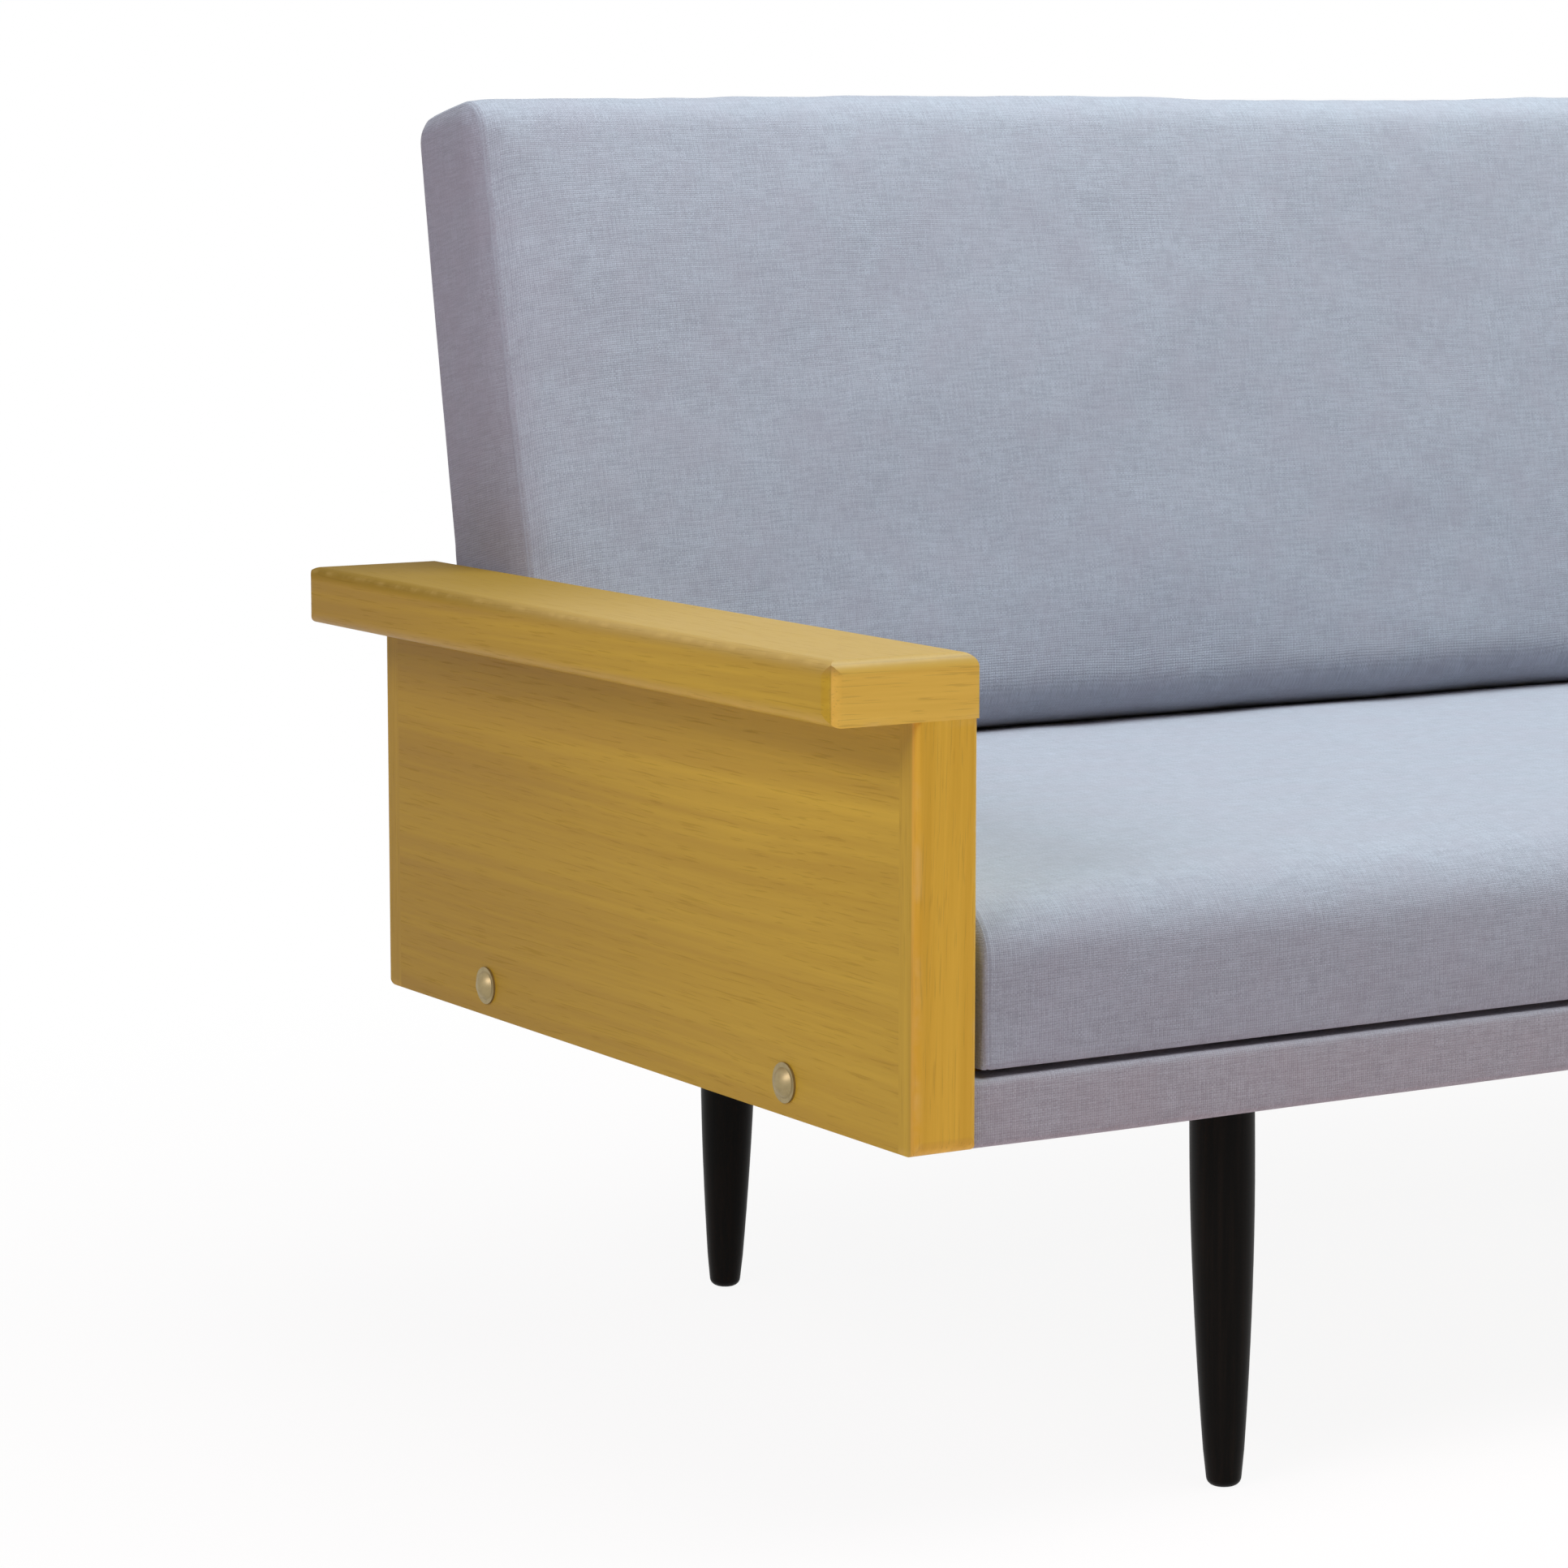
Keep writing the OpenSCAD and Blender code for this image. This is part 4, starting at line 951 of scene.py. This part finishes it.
def make_seat_cushion():
    low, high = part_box("seat_cover")
    piece = build_cushion("seat_cushion", *seat_rings(low, high))
    upholster(piece, high[0] - SEAM_SHARE * SEAT_EDGE, lambda out: out[:, 2] < LOOKS_DOWN)
    ruffle(piece, SEAT_SEED, lambda p: np.clip((p[:, 2] - low[2]) / EDGE_BAND, 0, 1))
    points = coordinates(piece)
    points[:, 2] = np.maximum(points[:, 2], low[2] - SEAT_FLOOR)
    set_coordinates(piece, points)
    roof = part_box("seat_foam")[0][2] + FOAM_GAP
    cut_away(piece, (low[0] + SEAT_WALL, low[1] + SEAT_WALL, low[2] - CUT_PAST),
             (high[0] - SEAT_WALL, high[1] - SEAT_WALL, roof))
    unroll(piece, 0.0, low[1], high[2] - SEAT_CROWN)
    finish_piece(piece, grey_cloth, "seat", ["seat_cover"], smooth=60)
    return piece


seat_cushion = make_seat_cushion()

# %% [markdown]
# ## Back cushion
#
# The back leans, is thicker at its foot than at its top, and swells out towards the
# sitter with a shallow hollow in the middle. Its rear is flat, because a lined board
# closes it there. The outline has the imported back's measures, and the brackets place it.

# %% Draw the back's rings
BACK_LEAN = math.radians(12.5)
REAR_LEAN = math.radians(10.05)
BACK_BOTTOM_T = 0.119
BACK_TOP_T = 0.097
BACK_LENGTH = 0.474
BACK_CROWN = 0.009
BACK_TOP_CROWN = 0.005
BACK_EDGE = 0.026
BACK_RADII = [0.033, 0.006, 0.020, BACK_EDGE]
BACK_ENDS = [0.014, 0.007, 0.015, 0.026]
BACK_DIP, DIP_WIDTH = 0.8, 0.15
BACK_FOOT_Z = 0.428
BACK_FOOT_DROP = 0.022
BEND_DROP = 0.012


def back_corners():
    """Foot front, foot rear, top rear and top front of the leaning outline, in (Y, Z)."""
    up = np.array([math.sin(BACK_LEAN), math.cos(BACK_LEAN)])
    back = np.array([math.cos(BACK_LEAN), -math.sin(BACK_LEAN)])
    bracket_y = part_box("back_brackets")[0][1]
    slope = math.tan(REAR_LEAN)
    foot_front = np.array([bracket_y + BEND_DROP * slope - BACK_BOTTOM_T, BACK_FOOT_Z])
    foot_rear = np.array([bracket_y + (BEND_DROP - BACK_FOOT_DROP) * slope,
                          BACK_FOOT_Z - BACK_FOOT_DROP])
    top_front = foot_front + BACK_LENGTH * up
    top_rear = top_front + BACK_TOP_T * back
    return [foot_front, foot_rear, top_rear, top_front], up, back


def back_rings(half):
    corners, up, back = back_corners()
    ring, rounds, starts = outline_ring(corners, BACK_RADII, BACK_ENDS,
                                        [SHORT_CUTS, long_cuts(BACK_LENGTH)] * 2)
    relative = ring - corners[0]
    height = np.clip(relative @ up / BACK_LENGTH, 0, 1)
    behind = relative @ back
    front_near = np.clip(1 - behind / EDGE_BAND, 0, 1)
    top_near = np.clip(1 - (BACK_LENGTH - relative @ up) / EDGE_BAND, 0, 1)
    thick = np.clip(behind / BACK_TOP_T, 0, 1)

    def bulge(made, t):
        along = bow(t) * (1 - BACK_DIP * math.exp(-((t - 0.5) / DIP_WIDTH) ** 2))
        made -= np.outer(BACK_CROWN * along * bow(height) * front_near, back)
        made += np.outer(BACK_TOP_CROWN * along * top_near * (1 - thick), up)

    return *sweep(ring, rounds, half, BACK_EDGE, bulge), starts


print("the back leans", round(math.degrees(BACK_LEAN), 1), "degrees")

# %% Make the back cushion
BACK_SEED = 21
LOOKS_BACK = 0.8
REAR_BED = 0.02
BOARD_T = 0.004
BED_SIDE = 0.0008
BED_DEPTH = 0.0013
BACK_LIFT = 0.0005
SEAT_SINK = 0.0016
MEET_FRONT = -0.05
MEET_ABOVE = 0.36


def leaning_block(low, high, thick):
    """Middle and size of the block in that box that leans as the back's rear does."""
    tall = (high[2] - low[2] - thick * math.sin(REAR_LEAN)) / math.cos(REAR_LEAN)
    middle = np.array([(a + b) / 2 for a, b in zip(low, high)])
    return middle, np.array([high[0] - low[0], thick, tall])


def hold_apart(piece, corners, gap, press):
    """Presses a cushion flat where it meets the plane of the back's underside."""
    points = coordinates(piece)
    along = corners[1] - corners[0]
    share = (points[:, 1] - corners[0][0]) / along[0]
    limit = corners[0][1] + share * along[1] - gap
    here = (share > MEET_FRONT) & (points[:, 2] > MEET_ABOVE)
    points[:, 2] = np.where(here, press(points[:, 2], limit), points[:, 2])
    set_coordinates(piece, points)


def cut_recess(piece):
    """A shallow bed in the rear, in which the lined board lies."""
    middle, size = leaning_block(*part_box("back_rear_board"), BOARD_T)
    half = size / 2 + np.array([BED_SIDE, 0.0, BED_SIDE])
    way = np.array([0.0, math.cos(REAR_LEAN), -math.sin(REAR_LEAN)])
    middle = middle + way * (CUT_PAST - BED_DEPTH) / 2
    half[1] += (CUT_PAST + BED_DEPTH) / 2
    cut_away(piece, middle - half, middle + half, REAR_LEAN)


def make_back_cushion():
    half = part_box("back_cover")[1][0]
    corners, up, _ = back_corners()
    rear_way = unit(corners[2] - corners[1])
    rear_out = np.array([rear_way[1], -rear_way[0]])
    piece = build_cushion("back_cushion", *back_rings(half))
    upholster(piece, half - SEAM_SHARE * BACK_EDGE,
              lambda out: out[:, 1:] @ rear_out > LOOKS_BACK)
    ruffle(piece, BACK_SEED,
           lambda p: np.clip((corners[1] - p[:, 1:]) @ rear_out / REAR_BED, 0, 1))
    cut_recess(piece)
    unroll(piece, BACK_LEAN, corners[0][0], corners[3] @ up)
    hold_apart(piece, corners, BACK_LIFT, np.maximum)
    hold_apart(seat_cushion, corners, SEAT_SINK, np.minimum)
    finish_piece(piece, grey_cloth, "frame", ["back_cover", "back_foam"],
                 smooth=60)


make_back_cushion()

# %% [markdown]
# ## Seat foam and webbing
#
# From below, the seat shows its straps and the foam that lies on them. A strap is a thin
# block that is subdivided along its length and sags between the frame's members.

# %% Make the foam
FOAM_BEVEL = 0.018
FOAM_SIDE = 0.01
FOAM_CUTS = (0, 0.3, 60), (1, 0.3, 24)
ABOVE_ALL = 1.0


def under_cover(piece, cover, floor, pad):
    """Lowers the upper side of a block to a wadding's thickness under a cushion's cover."""
    points = coordinates(piece)
    for point in points:
        eye = Vector((point[0], point[1], ABOVE_ALL))
        found, place, _, _ = cover.ray_cast(eye, Vector((0, 0, -1)))
        if found and point[2] > floor:
            point[2] = max(floor, min(point[2], place.z - pad))
    set_coordinates(piece, points)


low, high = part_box("seat_foam")
foam_side = low[2] + FOAM_SIDE
foam_block = new_block("seat_foam_block", low, (high[0], high[1], high[2] - FOAM_GAP))
bevel(foam_block, lambda e: all(v.co.z > foam_side for v in e.verts), FOAM_BEVEL, 5)
for cuts in FOAM_CUTS:
    cut_along(foam_block, *cuts)
done_editing()
under_cover(foam_block, seat_cushion, foam_side, SEAT_PAD)
finish_piece(foam_block, foam, "seat", ["seat_foam"])

# %% Make the straps
STRAP_SAG = 0.0025
STRAP_T = 0.0025
STRAP_BEVEL = 0.0008
STRAP_CUTS = 24
STRAP_POWER = 4.0
WELD = 1e-5
MIDDLE_MEMBER = 0.03
SIDE_MEMBERS = 0.5, 0.6


def one_strap(low, high, axis, sag=0.0, lean=0.0):
    """A strap between two corners, with soft edges, that sags by the middle of its length."""
    piece = new_block("strap", low, high, lean)
    length = high[axis] - low[axis]
    bevel(piece, lambda e: span(e, axis) > length / 2, STRAP_BEVEL, 2)
    cut_along(piece, axis, length / 2, STRAP_CUTS)
    done_editing()
    points = coordinates(piece)
    t = (points[:, axis] - low[axis]) / length
    points[:, 2] -= sag * np.clip(bow(t, STRAP_POWER), 0, 1)
    set_coordinates(piece, points)
    return piece


def islands(node):
    """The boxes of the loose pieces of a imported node."""
    work = bmesh.new()
    work.from_mesh(frame["nodes"][node].data)
    bmesh.ops.remove_doubles(work, verts=work.verts, dist=WELD)
    boxes, waiting = [], set(work.verts)
    while waiting:
        stack, group = [waiting.pop()], []
        while stack:
            here = stack.pop()
            group.append(tuple(here.co))
            near = waiting & {edge.other_vert(here) for edge in here.link_edges}
            waiting -= near
            stack.extend(near)
        boxes.append(([min(axis) for axis in zip(*group)], [max(axis) for axis in zip(*group)]))
    work.free()
    return sorted(boxes)


def join_straps(name, straps, body, node):
    start_clean()
    for strap in straps:
        strap.select_set(True)
    bpy.context.view_layer.objects.active = piece = straps[0]
    bpy.ops.object.join()
    piece.name = piece.data.name = name
    layer = piece.data.uv_layers.active
    layer.name = "weave"
    points = coordinates(piece)[read(piece.data.loops, "vertex_index", 1, int)]
    uv = np.stack([points[:, 0], points[:, 1] + points[:, 2]], axis=1)
    layer.data.foreach_set("uv", uv.ravel())
    finish_piece(piece, strap_cloth, body, [node])


def seat_strap(low, high):
    """A strap from front to rear. One that lies on a member of the frame doesn't sag."""
    middle = abs(low[0] + high[0]) / 2
    on_member = middle < MIDDLE_MEMBER or SIDE_MEMBERS[0] < middle < SIDE_MEMBERS[1]
    return one_strap(low, high, 1, sag=0.0 if on_member else STRAP_SAG)


def back_strap(low, high):
    """A strap across the leaning back."""
    middle, size = leaning_block(low, high, STRAP_T)
    return one_strap(middle - size / 2, middle + size / 2, 0, lean=REAR_LEAN)


join_straps("seat_straps", [seat_strap(*box) for box in islands("seat_webbing")],
            "seat", "seat_webbing")
join_straps("back_straps", [back_strap(*box) for box in islands("back_webbing")],
            "frame", "back_webbing")

# %% [markdown]
# ## Cloth on the rails
#
# The long rails are wrapped in the same fabric over thin wadding, in a copy of the cloth
# with warmer tones painted for how the light falls on the low rail. A block of the rail's
# size loses the faces where there is no cloth, its long edges are rounded, and Solidify
# gives it a wall. Many cuts along the length let the face wave very slightly.

# %% Wrap the rails
WRAP_RETURN = 0.015
WRAP_TOP = 0.0248
WRAP_FULL = 0.0012
WRAP_EDGE = 0.005
WRAP_T = 0.0029
WRAP_WAVE, WRAP_CELL = 0.0004, 0.22
WRAP_LONG = 0.5
WRAP_CUTS = (0, WRAP_LONG, 90), (2, 0.02, 3)
WRAP_SEED = 40
FACES_OUT = 0.9


def wrap_rail(name, node, front):
    low, high = (list(corner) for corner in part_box(node))
    if front:
        high[1] = low[1] + WRAP_TOP
    else:
        low[1] = high[1] - WRAP_TOP
    high[2] += WRAP_FULL
    piece = new_block(name, low, high)
    inner = -1 if front else 1
    outer_y = low[1] if front else high[1]
    turn = outer_y - inner * WRAP_RETURN
    pick(piece, "FACE",
         lambda f: f.normal.y * inner < -FACES_OUT or abs(f.normal.x) > FACES_OUT)
    bpy.ops.mesh.delete(type="FACE")
    bpy.ops.mesh.select_all(action="SELECT")
    bpy.ops.mesh.bisect(plane_co=(0, turn, 0), plane_no=(0, 1, 0))
    pick(piece, "FACE", lambda f: (f.normal.z < -FACES_OUT
                                   and (f.calc_center_median().y - turn) * inner < 0))
    bpy.ops.mesh.delete(type="FACE")
    bevel(piece, lambda e: (all(abs(v.co.y - outer_y) < WELD for v in e.verts)
                            and span(e, 0) > WRAP_LONG), WRAP_EDGE, 5)
    for cuts in WRAP_CUTS:
        cut_along(piece, *cuts)
    done_editing()
    points, out = coordinates(piece), normals(piece)
    height = soft_noise(points, WRAP_CELL, WRAP_SEED + int(front)) * WRAP_WAVE - WRAP_WAVE
    set_coordinates(piece, points + out * height[:, None])
    wall = piece.modifiers.new("wall", "SOLIDIFY")
    wall.thickness = WRAP_T
    wall.offset = -1
    apply_modifiers(piece)
    unroll(piece, 0.0, low[1], high[2])
    finish_piece(piece, rail_cloth, "frame", [node])


wrap_rail("front_rail_wrap", "front_rail_cover", True)
wrap_rail("rear_rail_wrap", "rear_rail_cover", False)

# %% [markdown]
# ## Lined board on the rear
#
# A thin board closes the back. It is wrapped in plain lining: a leaning block of its size
# is inset and pushed out a little for the wadding, and its edges are rounded.

# %% Make the lined board
LINING_INSETS = (0.006, 0.0), (0.018, 0.0008)
LINING_BEVEL = 0.0016


def on_rim(edge):
    """True for the edges where the board's rear and sides meet, and for its corners."""
    slopes = [face.normal.y for face in edge.link_faces]
    return edge.is_manifold and min(slopes) > -0.5 and min(abs(s) for s in slopes) < 0.5


low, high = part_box("back_rear_board")
middle, size = leaning_block(low, high, BOARD_T)
lining = new_block("back_lining", middle - size / 2, middle + size / 2, REAR_LEAN)
pick(lining, "FACE", lambda f: f.normal.y > FACES_OUT)
for thickness, depth in LINING_INSETS:
    bpy.ops.mesh.inset(thickness=thickness, depth=depth)
bevel(lining, on_rim, LINING_BEVEL, 3)
done_editing()
unroll(lining, REAR_LEAN, low[1], high[2])
finish_piece(lining, lining_cloth, "frame", ["back_rear_board"])

# %% [markdown]
# ## Floor, background and light
#
# A plain pale floor catches the shadow. It is mostly white to the camera, so that it
# joins the white background, and a plain diffuse surface to everything else. One wide
# cool lamp overhead gives the bright seat, and a weak one at the left lifts the arm's
# side and puts the armrest's shadow on it.

# %% Set the stage
FLOOR_SIZE = 60.0
FLOOR_TINT = (0.92, 0.75, 0.75, 1)
FLOOR_WHITE = 0.92
SHADOW_NEAR, SHADOW_FAR = 0.5, 1.7
AMBIENT = {"Strength": 0.06, "Color": (1.0, 0.97, 0.96, 1)}
WHITE = (1, 1, 1, 1)
# Each lamp's place, target, size in metres, watts and tint.
LAMPS = {
    "overhead": ((0.4, -0.5, 3.2), (0.2, 0.0, 0.4), (3.4, 2.0), 146, (0.885, 0.99, 0.99)),
    "side": ((-3.1, -1.0, 2.0), (-0.8, 0.0, 0.4), (1.4, 1.0), 35, (0.96, 0.88, 0.98)),
}


def seen(finish):
    """1 for rays from the camera, and for those from a mirror or through glass."""
    rays = finish.node("ShaderNodeLightPath", {}, []).socket.node.outputs
    kinds = "Is Camera Ray", "Is Glossy Ray", "Is Transmission Ray"
    camera, mirror, glass = (Wire(finish, rays[kind]) for kind in kinds)
    return camera.high(mirror).high(glass)


def stage_floor():
    start_clean()
    bpy.ops.mesh.primitive_plane_add(size=FLOOR_SIZE, location=(0, 0, 0))
    floor = bpy.context.object
    floor.name = "floor"
    finish = Finish("pale_floor")
    x, y, _ = finish.split(finish.place())
    far = finish.steps((x * x * 0.5 + y * y) ** 0.5, SHADOW_NEAR, SHADOW_FAR)
    share = seen(finish) * (far * (1 - FLOOR_WHITE) + FLOOR_WHITE)
    diffuse = finish.node("ShaderNodeBsdfDiffuse", {}, {"Color": FLOOR_TINT})
    white = finish.node("ShaderNodeEmission", {}, {"Color": WHITE, "Strength": 1.0})
    shown = finish.node("ShaderNodeMixShader", {}, [share, diffuse, white])
    output = finish.tree.nodes["Material Output"]
    finish.tree.links.new(shown.socket, output.inputs["Surface"])
    floor.data.materials.append(finish.material)


def stage_world():
    sky = Finish("studio", world=True)
    sky.tree.nodes.clear()
    scene.world = sky.material
    ambient = sky.node("ShaderNodeBackground", {}, AMBIENT)
    white = sky.node("ShaderNodeBackground", {}, {"Color": WHITE})
    shown = sky.node("ShaderNodeMixShader", {}, [seen(sky), ambient, white])
    output = sky.tree.nodes.new("ShaderNodeOutputWorld")
    sky.tree.links.new(shown.socket, output.inputs["Surface"])


stage_floor()
stage_world()
for name, (place, target, size, watts, tint) in LAMPS.items():
    lamp = bpy.data.lights.new(name, "AREA")
    lamp.shape = "RECTANGLE"
    lamp.size, lamp.size_y = size
    lamp.energy = watts
    lamp.color = tint
    holder = bpy.data.objects.new(name, lamp)
    holder.location = place
    holder.rotation_euler = (Vector(target) - holder.location).to_track_quat("-Z", "Y").to_euler()
    scene.collection.objects.link(holder)
scene.view_settings.view_transform = "Standard"
